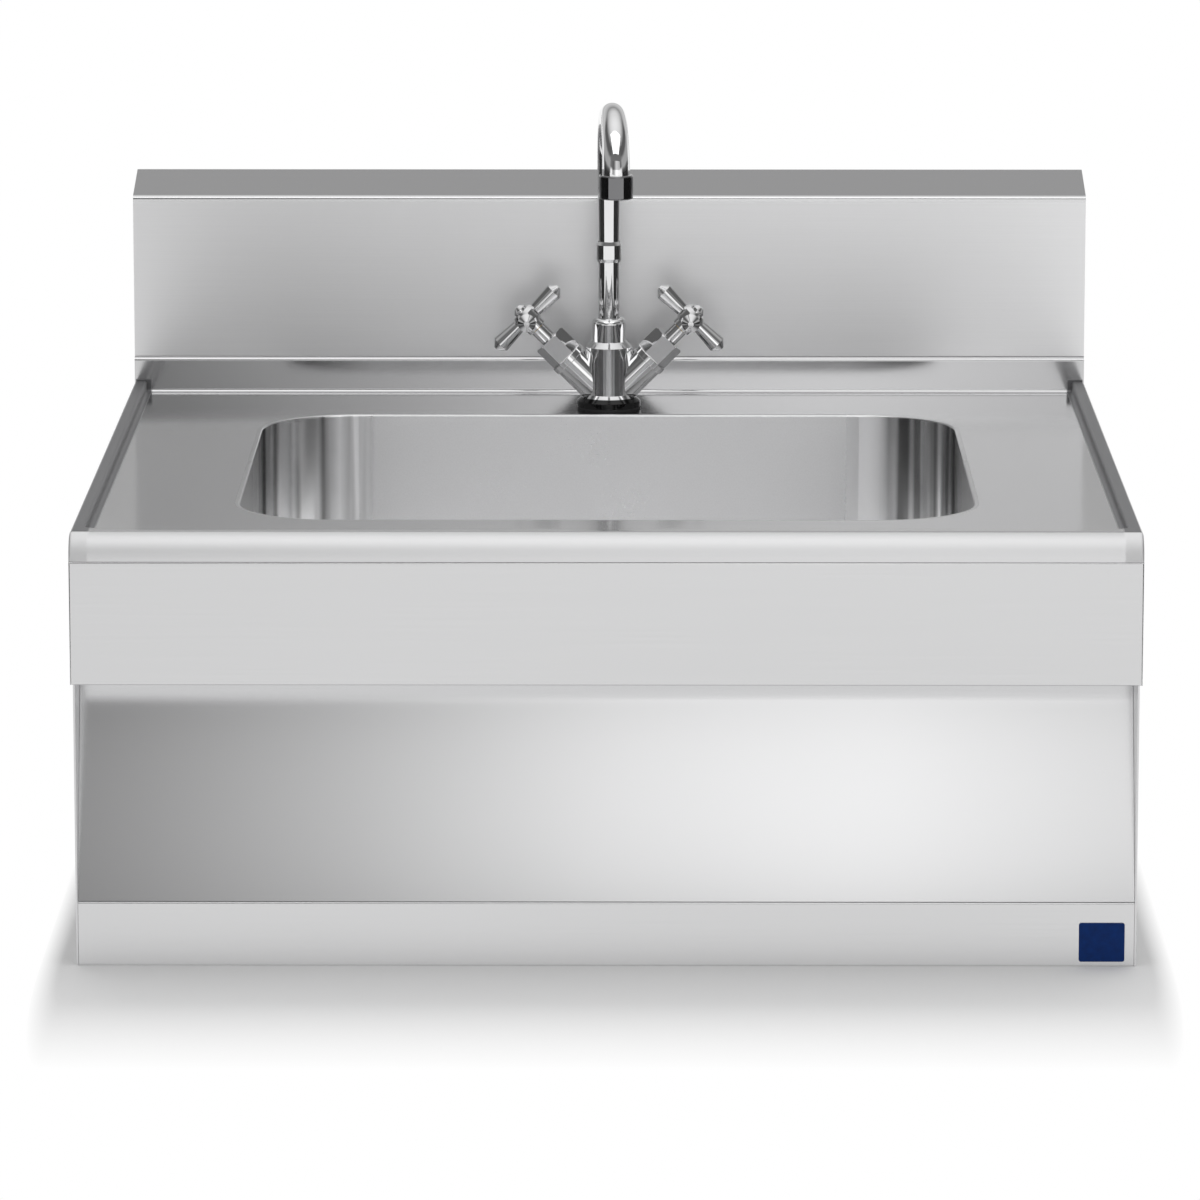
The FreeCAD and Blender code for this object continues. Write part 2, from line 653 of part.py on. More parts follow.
def make_worktop():
    body = new_body("worktop")
    deck_half = side - d.rim_width
    inner_top = rim_top - d.top_sheet
    block(body, "slab", both(side), (front, upstand_back), (nose_foot, rim_top))
    block(body, "upstand", both(side), (upstand_face, upstand_back), (nose_foot, upstand_top))
    tip = block(body, "underside", both(side - d.top_sheet), (front + d.top_sheet, upstand_face),
                (nose_foot - d.cut_overrun, inner_top), cut=True)
    tip = soften(body, tip, edges_at(tip, y=front + d.top_sheet, z=inner_top), d.nose_radius - d.top_sheet)
    tip = soften(body, tip, edges_at(tip, y=front, z=rim_top), d.nose_radius)
    soften(body, tip, edges_at(tip, x=-side, z=rim_top) + edges_at(tip, x=side, z=rim_top), d.rim_round)
    block(body, "tray", both(deck_half + d.top_sheet), (deck_front - d.top_sheet, upstand_back),
          (under_deck, rim_top))
    tip = block(body, "deck_recess", both(deck_half), (deck_front, upstand_face),
                (d.deck_height, upstand_top + d.cut_overrun), cut=True)
    tip = soften(body, tip, upright(tip, [(x, deck_front) for x in both(deck_half)]), d.deck_corner)

    def in_recess(level):
        """A test for edges at a level that lie inside the rim."""
        reach = (side - d.rim_width / 2).value
        nose = (front + d.nose_radius).value
        return lambda points: (lies(points, z=level)
                               and all(abs(p.x) < reach and nose < p.y < upstand_back.value for p in points))

    tip = soften(body, tip, edges(tip, in_recess(d.deck_height)), d.foot_bend)
    tip = soften(body, tip, edges(tip, in_recess(rim_top)), d.rim_round)
    soften(body, tip, edges_at(tip, y=upstand_face, z=upstand_top), d.hem_round)
    rounded(body, "bowl_opening", both(bowl_half + bowl_lip), (bowl_front - bowl_lip, bowl_rear + bowl_lip),
            d.bowl_corner + bowl_lip, under_deck - d.cut_overrun, d.top_sheet + 2 * d.cut_overrun, cut=True)
    rod(body, "tap_hole", (0, tap_y, under_deck - d.cut_overrun), tap_hole, d.top_sheet + 2 * d.cut_overrun,
        cut=True)
    block(body, "side_panel_room", both(side - d.top_sheet), (upstand_face, upstand_back + d.cut_overrun),
          (nose_foot - d.cut_overrun, under_deck), cut=True)


def make_bowl():
    body = new_body("bowl")
    lip = bowl_lip - d.weld_gap
    lip_half = bowl_half + lip
    lip_ends = (bowl_front - lip, bowl_rear + lip)
    lip_under = d.deck_height - d.bowl_sheet
    rounded(body, "well", both(bowl_half + d.bowl_sheet),
            (bowl_front - d.bowl_sheet, bowl_rear + d.bowl_sheet), d.bowl_corner + d.bowl_sheet,
            bowl_under, lip_under - bowl_under)
    tip = rounded(body, "lip", both(lip_half), lip_ends, d.bowl_corner + lip, lip_under, d.bowl_sheet)

    def within(level, margin):
        """A test for edges at a level that lie less than a margin outside the bowl's inside."""
        reach = (bowl_half + margin).value
        low, high = (bowl_front - margin).value, (bowl_rear + margin).value
        return lambda points: (lies(points, z=level)
                               and all(abs(p.x) < reach and low < p.y < high for p in points))

    soften(body, tip, edges(tip, within(lip_under, d.bowl_bend)), d.bowl_bend - d.bowl_sheet)
    tip = rounded(body, "hollow", both(bowl_half), (bowl_front, bowl_rear), d.bowl_corner, bowl_floor,
                  d.bowl_depth + d.cut_overrun, cut=True)
    tip = soften(body, tip, edges_at(tip, z=bowl_floor), d.floor_bend)
    tip = soften(body, tip, edges_at(tip, z=bowl_under), d.floor_bend + d.bowl_sheet)
    soften(body, tip, edges(tip, within(d.deck_height, d.bowl_sheet)), d.bowl_bend)
    across, along, _ = waste_at
    rod(body, "waste_hole", (across, along, bowl_under - d.cut_overrun), waste_hole,
        d.bowl_sheet + 2 * d.cut_overrun, cut=True)


def make_backsplash():
    body = new_body("backsplash")
    sheet_in = splash_face + d.casing_sheet
    return_in = rear - d.casing_sheet
    lap_back = upstand_back + d.casing_sheet
    return_foot = crest - d.splash_return
    sketch = outline(body, "fold", "YZ_Plane", [
        (splash_face, upstand_top),
        (splash_face, face_top),
        (rear, crest),
        (rear, return_foot),
        (return_in, return_foot),
        (return_in, crest - d.casing_sheet - crest_slope * d.casing_sheet),
        (sheet_in, face_top - d.casing_sheet + crest_slope * d.casing_sheet),
        (sheet_in, upstand_top + d.casing_sheet),
        (lap_back, upstand_top + d.casing_sheet),
        (lap_back, upstand_top - d.splash_lap),
        (upstand_back, upstand_top - d.splash_lap),
        (upstand_back, upstand_top),
    ])
    tip = body.newObject("PartDesign::Pad", "sheet")
    tip.Profile = sketch
    tip.Midplane = True
    bind(tip, "Length", d.unit_width)
    doc.recompute()
    tip = soften(body, tip, edges_at(tip, y=splash_face, z=face_top), d.splash_bend)
    tip = soften(body, tip, edges_at(tip, y=rear, z=crest), d.splash_bend)
    soften(body, tip, edges_at(tip, y=splash_face, z=upstand_top), d.splash_foot_round)


def make_splash_caps():
    low, high = upstand_back + d.casing_sheet + d.fit_gap, rear - d.casing_sheet - d.fit_gap
    drop = d.casing_sheet + d.fit_gap
    points = [
        (low, nose_foot),
        (high, nose_foot),
        (high, crest - crest_slope * (rear - high) - drop),
        (low, face_top + crest_slope * (low - splash_face) - drop),
    ]
    for name, sign in SIDES:
        inner, _ = span(sign, side - d.casing_sheet, side)
        body = new_body(f"{name}_splash_cap")
        sketch = outline(body, "profile", "YZ_Plane", points, rise=inner)
        plate = body.newObject("PartDesign::Pad", "plate")
        plate.Profile = sketch
        bind(plate, "Length", d.casing_sheet)
        doc.recompute()


def make_fascia():
    body = new_body("front_fascia")
    skin = front + d.casing_sheet
    soffit_end = front + d.panel_recess + d.soffit_margin
    past_soffit = soffit_end + d.cut_overrun
    inner_top = nose_foot - d.casing_sheet
    tip = block(body, "tray", both(side), (front, soffit_end), (fascia_foot, nose_foot))
    bends = upright(tip, [(x, front) for x in both(side)])
    bends += edges_at(tip, y=front, z=fascia_foot) + edges_at(tip, y=front, z=nose_foot)
    soften(body, tip, bends, d.casing_bend)
    block(body, "inside", both(side - d.casing_sheet), (skin, past_soffit),
          (fascia_foot + d.casing_sheet, inner_top), cut=True)
    for name, sign in SIDES:
        block(body, f"{name}_cheek_slot", span(sign, panel_half, side - d.casing_sheet), (skin, past_soffit),
              (fascia_foot - d.cut_overrun, nose_foot + d.cut_overrun), cut=True)
    block(body, "top_cut", both(side - d.casing_sheet), (front + d.fascia_top_return, past_soffit),
          (inner_top - d.fit_gap, nose_foot + d.cut_overrun), cut=True)


def make_front_panel():
    full_slope = diagonal(d.panel_recess, fascia_foot - d.rail_height)
    foot = d.rail_height + d.weld_gap + d.casing_sheet * d.panel_recess / full_slope
    rise = fascia_foot - d.fit_gap - foot
    length = diagonal(d.panel_recess, rise)
    body = new_body("front_panel", at=(0, rail_front, foot), axis=(1, 0, 0),
                    angle=-lean(d.panel_recess, rise))
    block(body, "plate", both(panel_half), (0, d.casing_sheet), (0, length))
    block(body, "top_return", both(panel_half - d.rear_flange), (0, d.panel_return),
          (length - d.casing_sheet, length))


def make_bottom_rail():
    body = new_body("bottom_rail")
    back = rail_front + d.rail_return
    tip = block(body, "channel", both(panel_half), (rail_front, back), (0, d.rail_height))
    soften(body, tip, edges_at(tip, y=rail_front, z=0) + edges_at(tip, y=rail_front, z=d.rail_height),
           d.casing_bend)
    block(body, "inside", both(side), (rail_front + d.casing_sheet, back + d.cut_overrun),
          (d.casing_sheet, d.rail_height - d.casing_sheet), cut=True)


def screw_hole(body, sign, height, low):
    """A hole, along Y, for a screw through one sheet."""
    rod(body, "screw_hole", (sign * screw_x, low - d.cut_overrun, height), d.screw_hole,
        d.casing_sheet + 2 * d.cut_overrun, cut=True, **ALONG_Y)


def make_side_panels():
    flange_front = rail_front + d.rail_return + d.fit_gap
    flange_rear = back_front - d.casing_sheet
    rail_clear = back_front - d.rail_return - d.fit_gap
    for name, sign in SIDES:
        body = new_body(f"{name}_side_panel")
        flange = span(sign, flange_in, cheek_out)
        block(body, "plate", span(sign, cheek_in, cheek_out), (cheek_front, back_rear), (0, under_deck))
        block(body, "nose_notch", span(sign, flange_in, side), (front, deck_front),
              (nose_foot - d.casing_sheet - d.fit_gap, rim_top), cut=True)
        block(body, "base_flange", flange, (flange_front, rail_clear), (0, d.casing_sheet))
        block(body, "top_flange", flange, (deck_front, rail_clear), (under_deck - d.casing_sheet, under_deck))
        block(body, "rear_flange", span(sign, cheek_in - d.rear_flange, cheek_out), (flange_rear, back_front),
              (d.rear_rail_height + d.fit_gap, under_deck))
        for end in both(rear - d.base_hole_inset):
            rod(body, "base_hole", (sign * (cheek_in - d.side_flange / 2), end, -d.cut_overrun), d.base_hole,
                d.casing_sheet + 2 * d.cut_overrun, cut=True)
        for height in screw_heights[1:]:
            screw_hole(body, sign, height, flange_rear)


def make_rear_panel():
    body = new_body("rear_panel")
    block(body, "plate", both(panel_half), (back_front, back_rear), (0, crest - d.rear_panel_lap))
    window = (d.service_foot, d.service_foot + d.service_height)
    tip = block(body, "service_window", both(d.service_width / 2),
                (back_front - d.cut_overrun, back_rear + d.cut_overrun), window, cut=True)
    corners = [name for x in both(d.service_width / 2) for z in window for name in edges_at(tip, x=x, z=z)]
    soften(body, tip, corners, d.service_corner)
    for _, sign in SIDES:
        for height in screw_heights:
            screw_hole(body, sign, height, back_front)


def make_rear_base_rail():
    body = new_body("rear_base_rail")
    leg = back_front - d.casing_sheet
    block(body, "foot", both(panel_half), (back_front - d.rail_return, back_front), (0, d.casing_sheet))
    block(body, "leg", both(panel_half), (leg, back_front), (0, d.rear_rail_height))
    for _, sign in SIDES:
        screw_hole(body, sign, d.screw_foot, leg)


def make_screws():
    """Equal screws through the rear panel, as one group of separate solids."""
    screws = []
    for _, sign in SIDES:
        for height in screw_heights:
            pieces = []
            for radius, low, length in ((d.screw_head, back_rear, d.screw_head_rise),
                                        (d.screw_shank, back_rear - d.screw_length, d.screw_length)):
                piece = doc.addObject("Part::Cylinder", "screw_piece")
                bind(piece, "Radius", radius)
                bind(piece, "Height", length)
                place(piece, (sign * screw_x, low, height), **ALONG_Y)
                pieces.append(piece)
            screw = doc.addObject("Part::Fuse", "screw")
            screw.Base, screw.Tool = pieces
            screws.append(screw)
    new_group("rear_panel_screws", screws)


def make_deck_stiffeners():
    foot = under_deck - d.stiffener_drop
    low, high = bowl_front - d.stiffener_overhang, bowl_rear + d.stiffener_overhang
    inner, outer = bowl_half + bowl_lip + d.stiffener_margin, flange_in - d.stiffener_gap
    for name, sign in SIDES:
        body = new_body(f"{name}_deck_stiffener")
        block(body, "channel", span(sign, inner, outer), (low, high), (foot, under_deck))
        block(body, "inside", span(sign, inner + d.casing_sheet, outer - d.casing_sheet),
              (low - d.cut_overrun, high + d.cut_overrun),
              (foot + d.casing_sheet, under_deck + d.cut_overrun), cut=True)


def make_tap_plate():
    body = new_body("tap_plate")
    low = bowl_rear + bowl_lip + d.fit_gap
    foot = under_deck - d.tap_plate_thick
    block(body, "plate", both(d.tap_plate_width / 2), (low, 2 * tap_y - low), (foot, under_deck))
    rod(body, "tap_hole", (0, tap_y, foot - d.cut_overrun), tap_hole,
        d.tap_plate_thick + 2 * d.cut_overrun, cut=True)


def make_badge():
    body = new_body("badge_plate")
    right = cheek_in - d.badge_margin
    top = d.rail_height - d.badge_drop
    x, z = (right - d.badge_width, right), (top - d.badge_height, top)
    tip = block(body, "plate", x, (rail_front - d.badge_thick, rail_front), z)
    corners = [name for u in x for v in z for name in edges_at(tip, x=u, z=v)]
    soften(body, tip, corners, d.badge_round)


def make_waste_inlet():
    """What lies on the bowl's floor: gasket, flange with its throat, and strainer."""
    body = new_body("waste_upper_gasket", at=waste_at)
    turn(body, "ring", ring_outline(waste_hole + d.fit_gap, gasket_out, 0, d.waste_gasket))

    body = new_body("waste_flange", at=waste_at)
    turn(body, "flange", [
        (throat_in, throat_foot),
        (throat_out, throat_foot),
        (throat_out, d.waste_gasket),
        (flange_out, d.waste_gasket),
        (flange_out - d.waste_flange_rise, flange_top),
        (d.waste_throat + d.strainer_sink, flange_top),
        (d.waste_throat, flange_top - d.strainer_sink),
        (d.waste_throat, ledge_top),
        (throat_in, ledge_top),
    ])

    body = new_body("waste_strainer", at=waste_at)
    turn(body, "disc", ring_outline(d.waste_bolt_radius + d.slip_gap, d.waste_throat - d.slip_gap, ledge_top,
                                    ledge_top + d.strainer_thick))
    ring = (d.waste_bolt_head + throat_in) / 2
    hole = rod(body, "drain_hole", (ring, 0, ledge_top - d.cut_overrun), d.strainer_hole,
               d.strainer_thick + 2 * d.cut_overrun, cut=True)
    polar(body, hole, STRAINER_HOLES)


def make_waste_body():
    """What hangs under the bowl: gasket, body with its bolt bridge, and the clamp bolt."""
    body = new_body("waste_lower_gasket", at=waste_at)
    turn(body, "ring", ring_outline(waste_hole + d.fit_gap, gasket_out, waste_seat, -d.bowl_sheet))

    body = new_body("waste_body", at=waste_at)
    cup_out = cup_in + d.waste_cup_wall
    flange_under = waste_seat - d.waste_body_flange
    turn(body, "cup", [
        (cup_in, waste_seat),
        (gasket_out, waste_seat),
        (gasket_out, flange_under),
        (cup_out, flange_under),
        (cup_out, cup_foot),
        (waste_neck_out, cup_foot - d.waste_cup_wall),
        (waste_neck_out, waste_neck_foot),
        (waste_neck_in, waste_neck_foot),
        (waste_neck_in, cup_foot),
        (cup_in, bridge_foot),
    ])
    block(body, "bridge", both(cup_in + d.waste_cup_wall / 2), both(d.waste_bolt_head),
          (bridge_foot, bridge_top))
    rod(body, "bolt_hole", (0, 0, bridge_foot - d.cut_overrun), d.waste_bolt_radius + d.slip_gap,
        d.waste_bridge + 2 * d.cut_overrun, cut=True)

    body = new_body("waste_bolt", at=waste_at)
    head_foot = ledge_top + d.strainer_thick
    dome = d.waste_bolt_rise / 2
    turn(body, "bolt", [
        (0, bridge_foot),
        (d.waste_bolt_radius, bridge_foot),
        (d.waste_bolt_radius, head_foot),
        (d.waste_bolt_head, head_foot),
        (d.waste_bolt_head, head_foot + dome),
        (d.waste_bolt_head - dome, head_foot + d.waste_bolt_rise),
        (0, head_foot + d.waste_bolt_rise),
    ])


def make_waste_outlet():
    """The tailpiece and the slip nut that holds it in the waste's neck."""
    body = new_body("waste_tailpiece", at=waste_at)
    nut_foot = waste_neck_foot - d.waste_nut_base
    bore = tailpiece_seat - d.tailpiece_wall
    tail_foot = nut_foot - d.tailpiece_length
    tail_top = waste_neck_foot + d.tailpiece_seat
    turn(body, "tube", [
        (bore, tail_foot),
        (d.tailpiece_radius, tail_foot),
        (d.tailpiece_radius, nut_foot),
        (tailpiece_seat, nut_foot),
        (tailpiece_seat, tail_top),
        (bore, tail_top),
    ])

    body = new_body("waste_nut", at=waste_at)
    nut_in = waste_neck_out + d.slip_gap
    nut_out = nut_in + d.waste_nut_wall
    nut_top = cup_foot - d.waste_cup_wall - d.waste_nut_gap
    turn(body, "nut", [
        (waste_neck_in, nut_foot),
        (nut_out, nut_foot),
        (nut_out, nut_top),
        (nut_in, nut_top),
        (nut_in, waste_neck_foot),
        (waste_neck_in, waste_neck_foot),
    ])


def make_tap_fixings():
    body = new_body("tap_base_gasket", at=tap_at)
    turn(body, "ring", ring_outline(tap_hole, tap_foot - d.fit_gap, 0, d.tap_gasket))

    body = new_body("tap_shank", at=tap_at)
    turn(body, "tube", ring_outline(shank_in, shank_out, -d.shank_drop, d.tap_gasket + d.shank_seat))

    top = -d.top_sheet - d.tap_plate_thick
    bore = shank_out + d.slip_gap
    for label, thick in (("tap_rubber_washer", d.rubber_washer), ("tap_steel_washer", d.steel_washer)):
        body = new_body(label, at=tap_at)
        turn(body, "ring", ring_outline(bore, tap_hole + d.washer_land, top - thick, top))
        top = top - thick

    body = new_body("tap_back_nut", at=tap_at)
    foot = top - d.back_nut_height
    hexagon(body, tap_hole + d.back_nut_land, foot, d.back_nut_height)
    rod(body, "thread", (0, 0, foot - d.cut_overrun), bore, d.back_nut_height + 2 * d.cut_overrun, cut=True)


def make_supply_tails():
    for (name, sign), drop in zip(VALVES, (d.hot_tail_length, d.cold_tail_length)):
        body = new_body(f"{name}_supply_tail", at=(sign * tail_offset, tap_y, d.deck_height))
        bore = tail_tube - d.tail_wall
        top = d.tap_gasket + d.tail_seat
        turn(body, "tube", [
            (bore, -drop),
            (d.tail_radius, -drop),
            (d.tail_radius, d.tail_end - drop),
            (tail_tube, d.tail_end - drop),
            (tail_tube, top),
            (bore, top),
        ])


def make_tap_body():
    body = new_body("tap_body", at=tap_at)
    foot = d.tap_gasket
    foot_top = foot + d.foot_thick
    turn(body, "column", [
        (0, foot),
        (tap_foot, foot),
        (tap_foot, foot_top),
        (column, foot_top + d.cove_rise),
        (column, d.column_top - d.column_round),
        (column - d.column_round, d.column_top),
        (0, d.column_top),
    ])
    for name, sign in VALVES:
        tilt = {"axis": (0, 1, 0), "angle": sign * d.valve_tilt}
        rod(body, f"{name}_arm", (0, 0, d.valve_apex), d.arm_radius, d.arm_length, **tilt)
        mouth = rod(body, f"{name}_ring", along_valve(sign, d.arm_length - d.arm_ring_width), d.arm_ring,
                    d.arm_ring_width, **tilt)
        soften(body, mouth, ring_edges(mouth, d.arm_ring), (d.arm_ring - d.arm_radius) / 2)
    block(body, "deck_clearance", both(d.arm_length), both(d.arm_length), (foot - d.arm_length, foot),
          cut=True)
    shank_top = foot + d.shank_seat
    rod(body, "shank_socket", (0, 0, foot - d.cut_overrun), shank_out + d.slip_gap,
        d.shank_seat + d.cut_overrun, cut=True)
    for name, sign in VALVES:
        tilt = {"axis": (0, 1, 0), "angle": sign * d.valve_tilt}
        rod(body, f"{name}_valve_bore", along_valve(sign, d.valve_seat), d.valve_bore,
            d.arm_length - d.valve_seat + d.cut_overrun, cut=True, **tilt)
        rod(body, f"{name}_inlet_port", along_valve(sign, d.inlet_port_foot), d.inlet_port,
            d.valve_seat - d.inlet_port_foot + d.cut_overrun, cut=True, **tilt)
        rod(body, f"{name}_tail_socket", (sign * tail_offset, 0, shank_top - d.cut_overrun),
            tail_tube + d.slip_gap, foot + d.tail_seat - shank_top + d.cut_overrun, cut=True)
    chamber_foot = spout_foot - d.chamber_room
    rod(body, "mixing_chamber", (0, 0, chamber_foot), d.spout_radius + d.running_gap,
        d.column_top - chamber_foot + d.cut_overrun, cut=True)
    seat = shoulder_foot - d.fit_gap
    rod(body, "spout_seat", (0, 0, seat), shoulder + d.fit_gap, d.column_top - seat + d.cut_overrun, cut=True)


def make_valve_discs(name, where):
    for label, radius, low in (("fixed_disc", disc, d.valve_seat), ("moving_disc", moving_disc, moving_foot)):
        body = new_body(f"{name}_{label}", **where)
        rod(body, "disc", (0, 0, low), radius, d.disc_thick)
        port = rod(body, "port", (d.disc_port_offset, 0, low - d.cut_overrun), d.disc_port,
                   d.disc_thick + 2 * d.cut_overrun, cut=True)
        polar(body, port, DISC_PORTS)


def make_spindle(name, where):
    body = new_body(f"{name}_spindle", **where)
    turn(body, "spindle", [
        (0, moving_top),
        (moving_disc, moving_top),
        (moving_disc, spindle_step),
        (d.spindle_radius, spindle_step),
        (d.spindle_radius, spindle_top),
        (0, spindle_top),
    ])
    rod(body, "screw_hole", (0, 0, screw_tip), d.handle_screw_radius + d.slip_gap,
        d.handle_screw_bite + d.cut_overrun, cut=True)


def make_bonnet(name, where):
    body = new_body(f"{name}_valve_bonnet", **where)
    turn(body, "thread", ring_outline(0, d.valve_bore - d.slip_gap, bonnet_foot, d.arm_length))
    hexagon(body, d.hex_radius, d.arm_length, d.hex_height)
    chamfer_in = d.hex_radius - d.hex_chamfer
    chamfer_out = d.hex_radius + d.cut_overrun
    turn(body, "hexagon_chamfer", [
        (chamfer_in, hex_top),
        (chamfer_out, hex_top - d.hex_chamfer - d.cut_overrun),
        (chamfer_out, hex_top + d.cut_overrun),
        (chamfer_in, hex_top + d.cut_overrun),
    ], cut=True)
    rod(body, "neck", (0, 0, hex_top), d.spindle_radius + d.bonnet_neck_wall, d.bonnet_neck_height)
    rod(body, "spindle_bore", (0, 0, bonnet_foot - d.cut_overrun), d.spindle_radius + d.running_gap,
        bonnet_top - bonnet_foot + 2 * d.cut_overrun, cut=True)


def make_handle(name, where):
    body = new_body(f"{name}_handle", **where)
    turn(body, "hub", [
        (0, handle_foot),
        (d.skirt_radius, handle_foot),
        (d.skirt_radius, skirt_top),
        (d.hub_radius, skirt_top + d.hub_round),
        (d.hub_radius, hub_top - d.hub_round),
        (d.skirt_radius, hub_top),
        (0, hub_top),
    ])
    sketch = outline(body, "arm_outline", "XY_Plane", [
        (0, 0),
        (d.arm_reach, 0),
        (d.arm_reach, d.arm_tip - d.arm_tip_round),
        (d.arm_reach - d.arm_tip_round, d.arm_tip),
        (0, d.arm_root),
    ], rise=skirt_top + d.hub_height / 2)
    arm = body.newObject("PartDesign::Revolution", "arm")
    arm.Profile = sketch
    arm.ReferenceAxis = (sketch, ["H_Axis"])
    arm.Angle = FULL_TURN
    doc.recompute()
    polar(body, arm, HANDLE_ARMS)
    rod(body, "spindle_socket", (0, 0, handle_foot - d.cut_overrun), d.spindle_radius + d.slip_gap,
        spindle_top - handle_foot + d.cut_overrun, cut=True)
    rod(body, "screw_hole", (0, 0, handle_foot), d.handle_screw_radius + d.slip_gap,
        hub_top - handle_foot + d.cut_overrun, cut=True)
    rod(body, "screw_well", (0, 0, well_foot), d.handle_screw_head + d.slip_gap,
        d.screw_well + d.cut_overrun, cut=True)


def make_handle_fixings(name, where):
    body = new_body(f"{name}_handle_screw", **where)
    low = screw_tip + d.fit_gap
    head_top = well_foot + d.handle_screw_rise
    turn(body, "screw", [
        (0, low),
        (d.handle_screw_radius, low),
        (d.handle_screw_radius, well_foot),
        (d.handle_screw_head, well_foot),
        (d.handle_screw_head, head_top),
        (0, head_top),
    ])

    body = new_body(f"{name}_index_cap", **where)
    cap_top = hub_top + d.cap_rise
    turn(body, "cap", [
        (0, hub_top),
        (d.cap_radius, hub_top),
        (d.cap_radius, cap_top - d.cap_round),
        (d.cap_radius - d.cap_round, cap_top),
        (0, cap_top),
    ])


def make_valves():
    for name, sign in VALVES:
        where = {"at": valve_at, "axis": (0, 1, 0), "angle": sign * d.valve_tilt}
        make_valve_discs(name, where)
        make_spindle(name, where)
        make_bonnet(name, where)
        make_handle(name, where)
        make_handle_fixings(name, where)


def make_spout_riser():
    body = new_body("spout_nut", at=tap_at)
    nut_in = d.spout_radius + d.fit_gap
    nut_out = shoulder + d.nut_land
    nut_top = d.column_top + d.nut_height
    tip = turn(body, "nut", ring_outline(nut_in, nut_out, d.column_top, nut_top))
    rim = [name for name in ring_edges(tip, nut_out) if name in edges_at(tip, z=nut_top)]
    soften(body, tip, rim, d.nut_round)

    body = new_body("spout_riser", **spout_where)
    turn(body, "tube", [
        (spout_bore, spout_foot),
        (d.spout_radius, spout_foot),
        (d.spout_radius, shoulder_foot),
        (shoulder, shoulder_foot),
        (shoulder, shoulder_foot + d.shoulder_height),
        (d.spout_radius, shoulder_foot + d.shoulder_height),
        (d.spout_radius, neck_foot),
        (spout_bore, neck_foot),
    ])
    for foot in ring_feet:
        turn(body, "groove", ring_outline(ring_floor, shoulder, foot, foot + d.ring_width), cut=True)

    body = new_body("spout_collar", **spout_where)
    collar_in = d.spout_radius + d.fit_gap
    collar_out = collar_in + d.collar_wall
    collar_top = d.collar_foot + d.collar_height
    turn(body, "collar", [
        (collar_in, d.collar_foot),
        (collar_in + d.collar_edge, d.collar_foot),
        (collar_out, d.collar_foot + d.collar_round),
        (collar_out, collar_top - d.collar_round),
        (collar_in + d.collar_edge, collar_top),
        (collar_in, collar_top),
    ])


def make_o_rings():
    """The riser's sealing rings, as one group of separate solids."""
    rings = []
    for foot in ring_feet:
        ring = doc.addObject("Part::Cut", "ring")
        ring.Base = doc.addObject("Part::Cylinder", "ring_outside")
        ring.Tool = doc.addObject("Part::Cylinder", "ring_inside")
        for cylinder, radius, overrun in ((ring.Base, d.spout_radius, 0),
                                          (ring.Tool, ring_floor, d.cut_overrun)):
            bind(cylinder, "Radius", radius)
            bind(cylinder, "Height", d.ring_width + 2 * Size.of(overrun))
            place(cylinder, (0, tap_y, d.deck_height + foot - overrun))
        rings.append(ring)
    new_group("spout_o_rings", rings)


def neck_spine(body):
    """The neck's centre line: up from the collar, then a half circle towards the bowl."""
    spine = body.newObject("Sketcher::SketchObject", "spine")
    spine.AttachmentSupport = [(origin_part(body, "YZ_Plane"), "")]
    spine.MapMode = "FlatFace"
    arch, foot, top = d.arch_radius.value, neck_foot.value, d.arch_foot.value
    spine.addGeometry(Part.LineSegment(FreeCAD.Vector(0, foot, 0), FreeCAD.Vector(0, top, 0)), False)
    whole = Part.Circle(FreeCAD.Vector(-arch, top, 0), FreeCAD.Vector(0, 0, 1), arch)
    spine.addGeometry(Part.ArcOfCircle(whole, 0, math.pi), False)
    spine.addConstraint(Sketcher.Constraint("PointOnObject", 0, 1, -2))
    spine.addConstraint(Sketcher.Constraint("PointOnObject", 0, 2, -2))
    spine.addConstraint(Sketcher.Constraint("Tangent", 0, 2, 1, 1))
    spine.addConstraint(Sketcher.Constraint("Horizontal", 1, 1, 1, 2))
    for kind, parts, size in (("DistanceY", (-1, 1, 0, 1), neck_foot),
                              ("DistanceY", (-1, 1, 0, 2), d.arch_foot),
                              ("Radius", (1,), d.arch_radius)):
        index = spine.addConstraint(Sketcher.Constraint(kind, *parts, size.value))
        spine.setExpression(f"Constraints[{index}]", size.formula)
    doc.recompute()
    return spine


def make_spout_neck():
    body = new_body("spout_neck", **spout_where)
    path = (neck_spine(body), ["Edge1", "Edge2"])
    start = circle(body, "start", d.spout_radius, (0, 0, neck_foot))
    end = circle(body, "end", d.neck_tip, (0, -spout_reach, d.arch_foot))
    neck = body.newObject("PartDesign::AdditivePipe", "neck")
    neck.Profile = start
    neck.Spine = path
    neck.Sections = [(end, [""])]
    neck.Transformation = "Multisection"
    doc.recompute()
    rod(body, "tip_spigot", (0, -spout_reach, spigot_foot), spigot, d.spigot_length)
    bore_start = circle(body, "bore_start", spout_bore, (0, 0, neck_foot))
    passage = body.newObject("PartDesign::SubtractivePipe", "passage")
    passage.Profile = bore_start
    passage.Spine = path
    doc.recompute()
    rod(body, "outlet", (0, -spout_reach, spigot_foot - d.cut_overrun), spout_bore,
        d.spigot_length + d.cut_overrun, cut=True)


